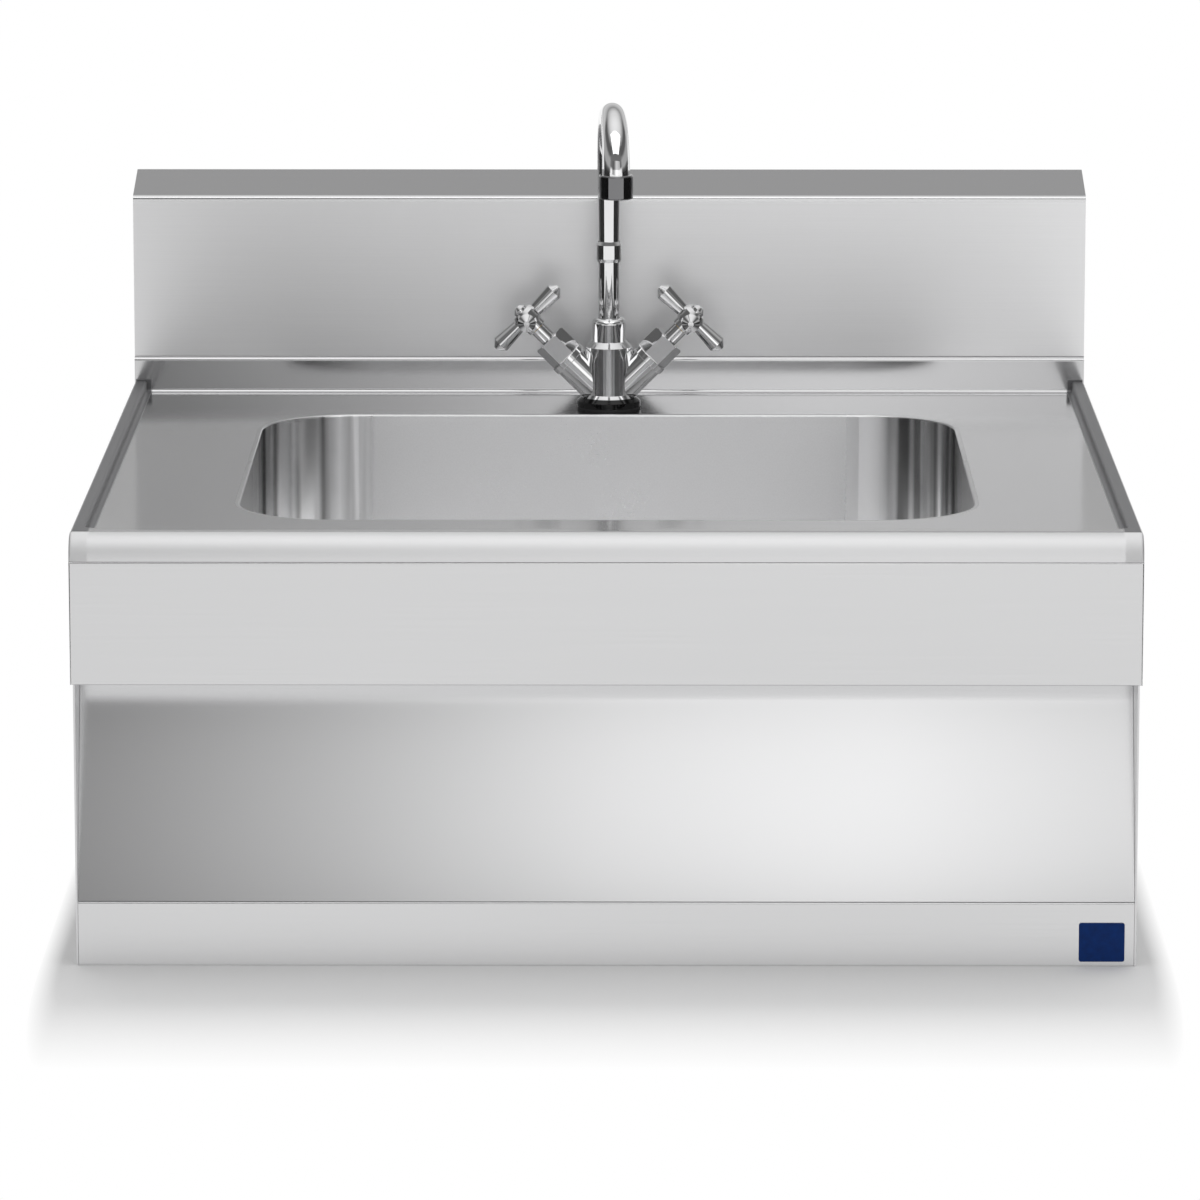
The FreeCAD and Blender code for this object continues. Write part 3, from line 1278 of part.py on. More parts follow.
def make_aerator():
    body = new_body("aerator_housing", **spout_where)
    tip = rod(body, "barrel", (0, -spout_reach, aerator_foot), aerator_out, d.aerator_height)
    soften(body, tip, ring_edges(tip, aerator_out), d.aerator_round)
    rod(body, "neck_socket", (0, -spout_reach, spigot_foot), spigot + d.slip_gap,
        d.spigot_length + d.cut_overrun, cut=True)
    rod(body, "mouth", (0, -spout_reach, aerator_foot - d.cut_overrun), aerator_in,
        d.insert_sink + d.insert_height + d.cut_overrun, cut=True)
    rod(body, "passage", (0, -spout_reach, aerator_foot), spout_bore, d.aerator_height, cut=True)

    insert_at = (spout_reach * sine(d.spout_yaw), tap_y - spout_reach * cosine(d.spout_yaw),
                 d.deck_height + aerator_foot + d.insert_sink)
    body = new_body("aerator_insert", at=insert_at)
    rod(body, "plug", (0, 0, 0), aerator_in - d.slip_gap, d.insert_height)
    hole = rod(body, "jet", (aerator_in / 2, 0, -d.cut_overrun), d.insert_hole,
               d.insert_height + 2 * d.cut_overrun, cut=True)
    polar(body, hole, INSERT_HOLES)


def check():
    """Stop on any failed object, or on a sub-part that is empty or not valid."""
    for thing in doc.Objects:
        if "Invalid" in thing.State or "Error" in thing.State:
            raise RuntimeError(f"{thing.Name} ({thing.Label}) failed: {thing.State}")
    for thing in subparts:
        if thing.Shape.isNull() or not thing.Shape.isValid() or not thing.Shape.Solids:
            raise RuntimeError(f"{thing.Label} has no valid solid")


def write():
    os.makedirs("parts", exist_ok=True)
    for thing in subparts:
        thing.Shape.exportStep(os.path.join("parts", f"{thing.Label}.step"))


make_worktop()
make_bowl()
make_backsplash()
make_splash_caps()
make_fascia()
make_front_panel()
make_bottom_rail()
make_side_panels()
make_rear_panel()
make_rear_base_rail()
make_screws()
make_deck_stiffeners()
make_tap_plate()
make_badge()
make_waste_inlet()
make_waste_body()
make_waste_outlet()
make_tap_fixings()
make_supply_tails()
make_tap_body()
make_valves()
make_spout_riser()
make_o_rings()
make_spout_neck()
make_aerator()
doc.recompute()
check()
write()
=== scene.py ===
import math

import bpy
from bpy.props import FloatProperty, FloatVectorProperty, PointerProperty
from mathutils import Euler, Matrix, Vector


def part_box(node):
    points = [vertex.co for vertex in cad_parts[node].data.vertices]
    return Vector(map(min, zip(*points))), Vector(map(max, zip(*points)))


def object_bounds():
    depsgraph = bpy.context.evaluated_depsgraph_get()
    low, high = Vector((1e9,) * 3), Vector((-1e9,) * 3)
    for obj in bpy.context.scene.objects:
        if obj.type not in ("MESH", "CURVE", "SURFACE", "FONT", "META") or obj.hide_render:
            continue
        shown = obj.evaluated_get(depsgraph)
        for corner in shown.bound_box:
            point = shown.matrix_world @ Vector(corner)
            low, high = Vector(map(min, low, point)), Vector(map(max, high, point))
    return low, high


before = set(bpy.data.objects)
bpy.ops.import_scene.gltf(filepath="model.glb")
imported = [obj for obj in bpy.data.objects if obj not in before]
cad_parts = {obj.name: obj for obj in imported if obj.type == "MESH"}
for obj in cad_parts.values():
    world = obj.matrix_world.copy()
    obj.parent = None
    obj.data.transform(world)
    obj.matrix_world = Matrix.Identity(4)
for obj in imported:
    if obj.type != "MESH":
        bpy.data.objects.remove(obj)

CAD_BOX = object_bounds()

bl_info = {
    "name": "Stainless basin unit",
    "version": (1, 0, 0),
    "blender": (4, 5, 0),
    "location": "3D View > Sidebar > Basin",
    "description": "Finishes, light and camera for a stainless counter-top basin with a two-handle mixer",
    "category": "Object",
}

# Pieces that share a finish

WORKTOP = ["worktop"]
SPLASH = ["backsplash"]
SPLASH_ENDS = ["left_splash_cap", "right_splash_cap"]
FASCIA = ["front_fascia"]
PANEL = ["front_panel"]
RAIL = ["bottom_rail"]
CASING_SIDES = ["left_side_panel", "right_side_panel"]
CASING_BACK = ["rear_panel", "rear_base_rail", "left_deck_stiffener", "right_deck_stiffener", "tap_plate"]
SCREWS = ["rear_panel_screws", "hot_handle_screw", "cold_handle_screw", "tap_steel_washer", "waste_bolt"]
WASTE_STEEL = ["waste_flange", "waste_strainer"]
WASTE_PLASTIC = ["waste_body", "waste_nut", "waste_tailpiece"]
TAP_BODY = ["tap_body"]
NOZZLE = ["aerator_housing"]
CHROME = [
    "spout_nut", "spout_riser", "spout_collar", "spout_neck",
    "hot_valve_bonnet", "cold_valve_bonnet", "hot_handle", "cold_handle", "hot_index_cap", "cold_index_cap",
]
BRASS = ["tap_shank", "tap_back_nut", "hot_spindle", "cold_spindle"]
COPPER = ["hot_supply_tail", "cold_supply_tail"]
RUBBER = [
    "waste_upper_gasket", "waste_lower_gasket", "tap_base_gasket", "tap_rubber_washer", "spout_o_rings",
]
CERAMIC = ["hot_fixed_disc", "cold_fixed_disc", "hot_moving_disc", "cold_moving_disc"]

# Levels of the room that the metal mirrors, from the horizon to overhead

FRONT_TONES = ((0.0, 1.0), (0.07, 0.95), (0.15, 0.18), (0.60, 0.15), (0.85, 0.8), (1.0, 1.0))
SIDE_TONES = (
    (0.0, 0.05), (0.06, 0.12), (0.12, 0.38), (0.30, 0.38), (0.42, 0.11), (0.60, 0.11), (0.85, 0.7), (1.0, 0.9),
)
BACK_TONES = (
    (0.0, 1.0), (0.07, 0.95), (0.17, 0.50), (0.30, 0.62), (0.48, 0.50), (0.62, 0.30), (0.85, 0.8), (1.0, 1.0),
)

# Where the tones of the front, of the sides and of the back come in: the front's hold from the start

FRONT_STARTS = (-2, -1)
SIDE_STARTS = (-0.72, -0.58)
BACK_STARTS = (0.40, 0.62)

# Shares of the front card's level, from its left end to its right

CARD_TONES = ((0.25, 0.27), (0.38, 0.54), (0.50, 0.86), (0.62, 1.0), (0.75, 0.78))

# Directions of the brush strokes on the sheets

ALONG_X = (1, 0, 0)
ALONG_Y = (0, 1, 0)
ALONG_Z = (0, 0, 1)

# A slight lean of the strokes, which keeps them off the line that a face's normal takes

OFF_LINE = 0.05

# Shares of the bowl's tone: on its end walls, as painted shade; on its dullest draw marks, as painted dark
# reflection; and on its floor

END_SHADE_SHARE = 0.42
MARK_REFLECTION_SHARE = 0.27
FLOOR_SHARE = 0.93

# Share of the bowl's roughness among the draw marks

CORNER_POLISH = 0.6

# Share of the plating's tone in the painted shade at the tap's foot, and the height of its soft edge

FOOT_SHADE_SHARE = 0.05
FOOT_EDGE = 0.0005

# Half the height over which the card in front turns dimmer

CARD_BLUR = 0.015


class BasinSteel(bpy.types.PropertyGroup):
    """Tone and polish of the stainless sheets."""

    colour: FloatVectorProperty(
        name="Steel", description="Tone of the casing sheets", subtype="COLOR", size=3,
        default=(0.66, 0.66, 0.665), min=0, max=1)
    worktop_colour: FloatVectorProperty(
        name="Worktop steel", description="Tone of the worktop", subtype="COLOR", size=3,
        default=(0.58, 0.58, 0.585), min=0, max=1)
    splash_colour: FloatVectorProperty(
        name="Splash steel", description="Tone of the splashback", subtype="COLOR", size=3,
        default=(0.80, 0.80, 0.805), min=0, max=1)
    # The nose's tone is painted light: the same sheet as the worktop, made paler along its rolled front edge
    nose_painted_light: FloatVectorProperty(
        name="Nose steel", description="Tone of the rolled front edge", subtype="COLOR", size=3,
        default=(0.76, 0.76, 0.765), min=0, max=1)
    # The bowl's pale tone is painted light: it is paler than the other sheets so that its walls read bright
    bowl_painted_light: FloatVectorProperty(
        name="Bowl steel", description="Tone of the pressed bowl", subtype="COLOR", size=3,
        default=(0.97, 0.97, 0.975), min=0, max=1)
    hidden_colour: FloatVectorProperty(
        name="Hidden steel", description="Tone of the sheets behind and below", subtype="COLOR", size=3,
        default=(0.56, 0.56, 0.565), min=0, max=1)
    worktop_roughness: FloatProperty(
        name="Worktop polish", description="Roughness of the worktop", subtype="FACTOR",
        default=0.12, min=0, max=1)
    nose_roughness: FloatProperty(
        name="Nose polish", description="Roughness of the rolled front edge", subtype="FACTOR",
        default=0.58, min=0, max=1)
    splash_roughness: FloatProperty(
        name="Splash polish", description="Roughness of the splashback", subtype="FACTOR",
        default=0.33, min=0, max=1)
    splash_smear: FloatProperty(
        name="Splash smear", description="How far the splashback's brushing draws a reflection out",
        subtype="FACTOR", default=0.2, min=0, max=1)
    crest_roughness: FloatProperty(
        name="Crest polish", description="Roughness of the splashback's sloped top", subtype="FACTOR",
        default=0.18, min=0, max=1)
    crest_rise: FloatProperty(
        name="Crest rise", description="Height of the splashback's sloped top", unit="LENGTH",
        default=0.014, min=0)
    casing_roughness: FloatProperty(
        name="Casing polish", description="Roughness of the casing", subtype="FACTOR",
        default=0.26, min=0, max=1)
    panel_roughness: FloatProperty(
        name="Panel polish", description="Roughness of the tilted front panel", subtype="FACTOR",
        default=0.18, min=0, max=1)
    cheek_roughness: FloatProperty(
        name="Cheek polish", description="Roughness of the casing's sides", subtype="FACTOR",
        default=0.34, min=0, max=1)
    bowl_roughness: FloatProperty(
        name="Bowl polish", description="Roughness of the bowl", subtype="FACTOR",
        default=0.30, min=0, max=1)
    nose_depth: FloatProperty(
        name="Nose depth", description="How far the dull front edge reaches back", unit="LENGTH",
        default=0.012, min=0)
    # The fold's pale tone is a painted highlight: a bright line along the fascia's edges
    fold_highlight_depth: FloatProperty(
        name="Fold depth", description="How far behind its face the fascia's bright fold begins", unit="LENGTH",
        default=0.003, min=0)
    # The rims' tone is painted shade: a near-black tone that stands in for the dark reflections on their inner walls
    rim_painted_shade: FloatVectorProperty(
        name="Rim steel", description="Tone of the raised side rims", subtype="COLOR", size=3,
        default=(0.13, 0.13, 0.135), min=0, max=1)
    rim_drop: FloatProperty(
        name="Rim drop", description="How far the rims lie below the upstand's top", unit="LENGTH", default=0.017,
        min=0)
    rim_roughness: FloatProperty(
        name="Rim polish", description="Roughness of the rims' inner walls", subtype="FACTOR", default=0.4,
        min=0, max=1)
    rim_shine: FloatProperty(
        name="Rim shine", description="How metallic the rims' inner walls look", subtype="FACTOR", default=0.15,
        min=0, max=1)
    rim_width: FloatProperty(
        name="Rim width", description="Width of the raised side rims", unit="LENGTH", default=0.0130, min=0)
    draw_pitch: FloatProperty(
        name="Draw mark pitch", description="Distance between the draw marks of the bowl", unit="LENGTH",
        default=0.012, min=0.0001)
    draw_reach: FloatProperty(
        name="Draw mark reach", description="How far the draw marks reach in from the ends of the bowl",
        unit="LENGTH", default=0.082, min=0)
    lip_depth: FloatProperty(
        name="Lip depth", description="How far the worktop's finish runs over the lip of the bowl",
        unit="LENGTH", default=0.0012, min=0)
    smear: FloatProperty(
        name="Smear", description="How far the brushing draws a reflection out", subtype="FACTOR",
        default=0.3, min=0, max=1)
    stroke_pitch: FloatProperty(
        name="Stroke pitch", description="Distance between brush strokes", unit="LENGTH",
        default=0.0008, min=0.0001)
    stroke_length: FloatProperty(
        name="Stroke length", description="Length of a brush stroke", unit="LENGTH",
        default=0.12, min=0.001)


class BasinMixer(bpy.types.PropertyGroup):
    """Tone and polish of the tap."""

    chrome: FloatVectorProperty(
        name="Chrome", description="Tone of the plated pieces", subtype="COLOR", size=3,
        default=(0.80, 0.80, 0.805), min=0, max=1)
    # The nozzle's dark tone is painted reflection: dark plating that stands in for the dark surroundings it mirrors
    nozzle: FloatVectorProperty(
        name="Nozzle", description="Tone of the dark plating on the nozzle", subtype="COLOR", size=3,
        default=(0.20, 0.20, 0.205), min=0, max=1)
    chrome_roughness: FloatProperty(
        name="Chrome polish", description="Roughness of the plating", subtype="FACTOR",
        default=0.035, min=0, max=1)
    # The foot's dark band is painted shade, where the tap meets the deck
    foot_shade_height: FloatProperty(
        name="Foot height", description="Height of the black foot of the tap", unit="LENGTH",
        default=0.007, min=0)
    brass: FloatVectorProperty(
        name="Brass", description="Tone of the bare brass", subtype="COLOR", size=3,
        default=(0.78, 0.57, 0.25), min=0, max=1)
    copper: FloatVectorProperty(
        name="Copper", description="Tone of the supply tails", subtype="COLOR", size=3,
        default=(0.80, 0.42, 0.28), min=0, max=1)


class BasinTrim(bpy.types.PropertyGroup):
    """Colours of the small pieces."""

    badge: FloatVectorProperty(
        name="Badge", description="Enamel of the plain plate", subtype="COLOR", size=3,
        default=(0.002, 0.028, 0.155), min=0, max=1)
    rubber: FloatVectorProperty(
        name="Rubber", description="Seals and washers", subtype="COLOR", size=3,
        default=(0.018, 0.018, 0.019), min=0, max=1)
    plastic: FloatVectorProperty(
        name="Waste plastic", description="Trap side of the waste", subtype="COLOR", size=3,
        default=(0.80, 0.80, 0.78), min=0, max=1)
    insert: FloatVectorProperty(
        name="Aerator insert", description="Plastic grid in the spout", subtype="COLOR", size=3,
        default=(0.10, 0.10, 0.105), min=0, max=1)
    ceramic: FloatVectorProperty(
        name="Ceramic", description="Valve discs", subtype="COLOR", size=3,
        default=(0.86, 0.84, 0.80), min=0, max=1)


class BasinStage(bpy.types.PropertyGroup):
    """Camera, floor, lamp, cards and flags."""

    lens: FloatProperty(
        name="Lens", description="Focal length", unit="CAMERA", default=215.0, min=1)
    camera_place: FloatVectorProperty(
        name="Camera place", description="Where the camera stands", subtype="TRANSLATION", size=3,
        default=(0.016, -4.934, 1.112))
    camera_pitch: FloatProperty(
        name="Camera pitch", description="How far it looks down", subtype="ANGLE",
        default=math.radians(10.71))
    camera_yaw: FloatProperty(
        name="Camera yaw", description="How far it looks to the left", subtype="ANGLE",
        default=math.radians(0.25))
    floor_span: FloatProperty(
        name="Floor span", description="Length of the floor's sides", unit="LENGTH", default=60.0, min=1)
    floor_tone: FloatProperty(
        name="Floor tone", description="How pale the floor is", subtype="FACTOR", default=0.90, min=0, max=1)
    white_from: FloatProperty(
        name="White from", description="Distance from the unit at which the floor starts to go white", unit="LENGTH",
        default=0.100, min=0)
    white_to: FloatProperty(
        name="White to", description="Distance from the unit beyond which the floor is white", unit="LENGTH",
        default=0.270, min=0)
    white_squeeze: FloatProperty(
        name="White squeeze", description="How much sooner the floor goes white beside the unit", default=12.0)
    white_sooner: FloatProperty(
        name="White sooner", description="How much nearer the floor goes white in the metal", unit="LENGTH",
        default=0.165)
    room_level: FloatProperty(
        name="Room level", description="Even light from all round", default=0.46, min=0)
    mirror_level: FloatProperty(
        name="Mirror level", description="Level of the room that the metal mirrors", default=1.1, min=0)
    flag_tone: FloatProperty(
        name="Flag tone", description="How dark the flags are", subtype="FACTOR", default=0.05, min=0, max=1)
    rear_tone: FloatProperty(
        name="Rear flag tone", description="How dark the flags behind are", subtype="FACTOR",
        default=0.78, min=0, max=1)
    flag_wide: FloatProperty(
        name="Flag distance", description="Side flags from the middle", unit="LENGTH", default=1.2)
    flag_near: FloatProperty(
        name="Flag front", description="Front edge of the side flags", unit="LENGTH", default=-0.79)
    flag_far: FloatProperty(
        name="Flag back", description="Back edge of the side flags", unit="LENGTH", default=0.75)
    flag_tall: FloatProperty(
        name="Flag height", description="Height of the side flags", unit="LENGTH", default=0.45)
    rear_wide: FloatProperty(
        name="Rear flag outside", description="Outer edge of the rear flags", unit="LENGTH", default=0.48)
    rear_gap: FloatProperty(
        name="Rear flag inside", description="Inner edge of the rear flags", unit="LENGTH", default=0.30)
    rear_far: FloatProperty(
        name="Rear flag distance", description="How far behind the rear flags stand", unit="LENGTH", default=0.9)
    rear_tall: FloatProperty(
        name="Rear flag height", description="Height of the rear flags", unit="LENGTH", default=0.55)
    over_level: FloatProperty(
        name="Overhead level", description="Brightness of the lamp above", default=2.3, min=0)
    over_span: FloatProperty(
        name="Overhead span", description="Length of the sides of the lamp above", unit="LENGTH",
        default=2.0, min=0)
    over_place: FloatVectorProperty(
        name="Overhead place", description="Where the lamp above hangs", subtype="TRANSLATION", size=3,
        default=(0.1, 0.25, 2.3))
    top_level: FloatProperty(
        name="Top card level", description="Brightness of the card overhead", default=1.6, min=0)
    top_wide: FloatProperty(
        name="Top card width", description="Width of the card overhead", unit="LENGTH", default=1.8, min=0)
    top_high: FloatProperty(
        name="Top card height", description="Height of the card overhead", unit="LENGTH", default=1.7)
    top_near: FloatProperty(
        name="Top card front", description="Front edge of the card overhead", unit="LENGTH", default=-1.7)
    top_far: FloatProperty(
        name="Top card back", description="Back edge of the card overhead", unit="LENGTH", default=-0.15)
    card_level: FloatProperty(
        name="Card level", description="Brightness of the card in front", default=1.50, min=0)
    card_wide: FloatProperty(
        name="Card width", description="Width of the card in front", unit="LENGTH", default=1.7, min=0)
    card_low: FloatProperty(
        name="Card foot", description="Lower edge of the card in front", unit="LENGTH", default=0.36)
    card_high: FloatProperty(
        name="Card head", description="Upper edge of the card in front", unit="LENGTH", default=1.0)
    card_step: FloatProperty(
        name="Card step", description="Where the card turns dimmer upwards", unit="LENGTH", default=0.605)
    card_dim: FloatProperty(
        name="Card dimming", description="Share of the level above the step", subtype="FACTOR",
        default=0.52, min=0, max=1)
    card_dim_left: FloatProperty(
        name="Card dimming left", description="Share of the level above the step at the left end", subtype="FACTOR",
        default=0.34, min=0, max=1)
    card_away: FloatProperty(
        name="Card distance", description="How far in front the card stands", unit="LENGTH", default=1.25)


class Nodes:
    """Adds and joins the nodes of one tree."""

    def __init__(self, tree):
        self.tree = tree

    def add(self, kind, inputs=None, **settings):
        node = self.tree.nodes.new(kind)
        for key, value in settings.items():
            setattr(node, key, value)
        for key, value in (inputs or {}).items():
            node.inputs[key].default_value = value
        return node

    def link(self, source, target):
        self.tree.links.new(source, target)

    def noise(self, place, scale, detail, share=0.5):
        node = self.add("ShaderNodeTexNoise", {"Scale": scale, "Detail": detail, "Roughness": share})
        self.link(place, node.inputs["Vector"])
        return node.outputs["Fac"]

    def spread(self, value, low, high, start=0.0, end=1.0):
        node = self.add("ShaderNodeMapRange",
                        {"From Min": start, "From Max": end, "To Min": low, "To Max": high})
        self.link(value, node.inputs["Value"])
        return node.outputs["Result"]

    def tones(self, value, low, high, start=0.3, end=0.7):
        node = self.add("ShaderNodeValToRGB")
        ramp = node.color_ramp.elements
        ramp[0].position = start
        ramp[0].color = (*low, 1)
        ramp[1].position = end
        ramp[1].color = (*high, 1)
        self.link(value, node.inputs["Fac"])
        return node.outputs["Color"]

    def sums(self, operation, first, second):
        node = self.add("ShaderNodeMath", operation=operation)
        for socket, value in zip(node.inputs, (first, second)):
            if isinstance(value, (int, float)):
                socket.default_value = value
            else:
                self.link(value, socket)
        return node.outputs["Value"]

    def blend(self, share, socket, other):
        """Puts a mix in front of a linked socket: what fed it, and the other by the share."""
        colour = socket.type == "RGBA"
        node = self.add("ShaderNodeMix", data_type="RGBA" if colour else "FLOAT")
        ends = {end.name: end for end in node.inputs if end.enabled}
        self.link(share, ends["Factor"])
        self.link(socket.links[0].from_socket, ends["A"])
        if isinstance(other, bpy.types.NodeSocket):
            self.link(other, ends["B"])
        else:
            ends["B"].default_value = other
        self.link(next(end for end in node.outputs if end.enabled), socket)

    def relief(self, height, depth, share):
        node = self.add("ShaderNodeBump", {"Strength": share, "Distance": depth})
        self.link(height, node.inputs["Height"])
        return node.outputs["Normal"]


def new_finish(name, **constants):
    """A material, its nodes, its shader and the object's own coordinates."""
    material = bpy.data.materials.new(name)
    material.use_nodes = True
    nodes = Nodes(material.node_tree)
    shader = material.node_tree.nodes["Principled BSDF"]
    for socket, value in constants.items():
        shader.inputs[socket.replace("_", " ")].default_value = value
    place = nodes.add("ShaderNodeTexCoord").outputs["Object"]
    return material, nodes, shader, place


def shape_ramp(ramp, tones):
    """Greys along a ramp: the first two stops are there, and the rest are added."""
    for number, (place, level) in enumerate(tones):
        stop = ramp.elements[number] if number < 2 else ramp.elements.new(place)
        stop.position = place
        stop.color = (level, level, level, 1)


def shade(colour, share):
    """A tone lighter or darker by a share."""
    return tuple(min(1.0, channel * share) for channel in colour)


def brushed_sheet(name, colour, roughness, grain, steel, smear=None):
    """Sheet steel, brushed along the grain, so that it draws reflections out across the strokes."""
    material, nodes, shader, place = new_finish(
        name, Metallic=1.0, Anisotropic=smear or steel.smear, Anisotropic_Rotation=0.25)
    along = 1 / steel.stroke_length
    across = 1 / steel.stroke_pitch
    stretch = nodes.add("ShaderNodeMapping", {"Scale": [along if way else across for way in grain]})
    nodes.link(place, stretch.inputs["Vector"])
    strokes = nodes.noise(stretch.outputs["Vector"], scale=1.0, detail=3.0, share=0.65)
    clouds = nodes.noise(place, scale=6.0, detail=2.0)
    tone = nodes.tones(strokes, shade(colour, 0.988), shade(colour, 1.012))
    mottled = nodes.sums("ADD", strokes, clouds)
    polish = nodes.spread(mottled, roughness * 0.96, roughness * 1.04, start=0.6, end=1.4)
    lay = nodes.add("ShaderNodeCombineXYZ", {axis: max(way, OFF_LINE) for axis, way in zip("XYZ", grain)})
    nodes.link(lay.outputs["Vector"], shader.inputs["Tangent"])
    nodes.link(tone, shader.inputs["Base Color"])
    nodes.link(polish, shader.inputs["Roughness"])
    return material


def worktop_sheet(name, steel):
    """The worktop's brushed sheet, dull and pale on its rolled front edge, where the pale tone is painted light, and
    dull and dark on its side rims, where the dark tone is painted shade.
    """
    material = brushed_sheet(name, steel.worktop_colour, steel.worktop_roughness, ALONG_X, steel)
    nodes = Nodes(material.node_tree)
    shader = material.node_tree.nodes["Principled BSDF"]
    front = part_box("worktop")[0][1]
    depth = nodes.add("ShaderNodeSeparateXYZ")
    nodes.link(nodes.add("ShaderNodeTexCoord").outputs["Object"], depth.inputs["Vector"])
    nose = nodes.spread(depth.outputs["Y"], 1.0, 0.0, front + steel.nose_depth, front + steel.nose_depth * 1.15)
    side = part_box("worktop")[1][0] - steel.rim_width
    reach = nodes.sums("ABSOLUTE", depth.outputs["X"], 0.0)
    inside = nodes.spread(reach, 0.0, 1.0, side, side + steel.rim_width * 0.1)
    outside = nodes.spread(reach, 1.0, 0.0, side + steel.rim_width * 0.9, side + steel.rim_width * 0.95)
    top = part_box("worktop")[1][2] - steel.rim_drop
    below = nodes.spread(depth.outputs["Z"], 1.0, 0.0, top, top + steel.rim_drop * 0.05)
    rim = nodes.sums("MULTIPLY", nodes.sums("MULTIPLY", inside, outside), below)
    # Painted shade: the rims' inner walls take a near-black tone, with a dull, barely metallic finish
    nodes.blend(rim, shader.inputs["Base Color"], (*steel.rim_painted_shade, 1))
    nodes.blend(rim, shader.inputs["Roughness"], steel.rim_roughness)
    nodes.link(nodes.spread(rim, steel.smear, 0.0), shader.inputs["Anisotropic"])
    nodes.link(nodes.spread(rim, 1.0, steel.rim_shine), shader.inputs["Metallic"])
    # Painted light: the rolled front edge takes a paler tone than the rest of the sheet; its duller polish is real
    nodes.blend(nose, shader.inputs["Base Color"], (*steel.nose_painted_light, 1))
    nodes.blend(nose, shader.inputs["Roughness"], steel.nose_roughness)
    return material


def splash_sheet(name, steel):
    """The splashback's brushed sheet, with a brighter polish on its sloped top."""
    material = brushed_sheet(name, steel.splash_colour, steel.splash_roughness, ALONG_X, steel, steel.splash_smear)
    nodes = Nodes(material.node_tree)
    shader = material.node_tree.nodes["Principled BSDF"]
    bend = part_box("backsplash")[1][2] - steel.crest_rise
    rise = nodes.add("ShaderNodeSeparateXYZ")
    nodes.link(nodes.add("ShaderNodeTexCoord").outputs["Object"], rise.inputs["Vector"])
    crest = nodes.spread(rise.outputs["Z"], 0.0, 1.0, bend - steel.crest_rise * 0.3, bend - steel.crest_rise * 0.1)
    nodes.blend(crest, shader.inputs["Base Color"], (*steel.colour, 1))
    nodes.blend(crest, shader.inputs["Roughness"], steel.crest_roughness)
    return material


def fascia_sheet(name, steel):
    """The fascia's brushed sheet, with a painted highlight on the fold behind its face."""
    material = brushed_sheet(name, steel.colour, steel.casing_roughness, ALONG_X, steel)
    nodes = Nodes(material.node_tree)
    shader = material.node_tree.nodes["Principled BSDF"]
    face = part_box("front_fascia")[0][1]
    depth = nodes.add("ShaderNodeSeparateXYZ")
    nodes.link(nodes.add("ShaderNodeTexCoord").outputs["Object"], depth.inputs["Vector"])
    fold = nodes.spread(depth.outputs["Y"], 0.0, 1.0, face + steel.fold_highlight_depth * 0.5, face + steel.fold_highlight_depth)
    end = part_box("front_fascia")[1][0] - steel.fold_highlight_depth
    reach = nodes.sums("ABSOLUTE", depth.outputs["X"], 0.0)
    within = nodes.spread(reach, 1.0, 0.0, end, end + steel.fold_highlight_depth * 0.3)
    # Painted highlight: the fold behind the face, short of its ends, takes the bowl's pale tone
    nodes.blend(nodes.sums("MULTIPLY", fold, within), shader.inputs["Base Color"], (*steel.bowl_painted_light, 1))
    return material


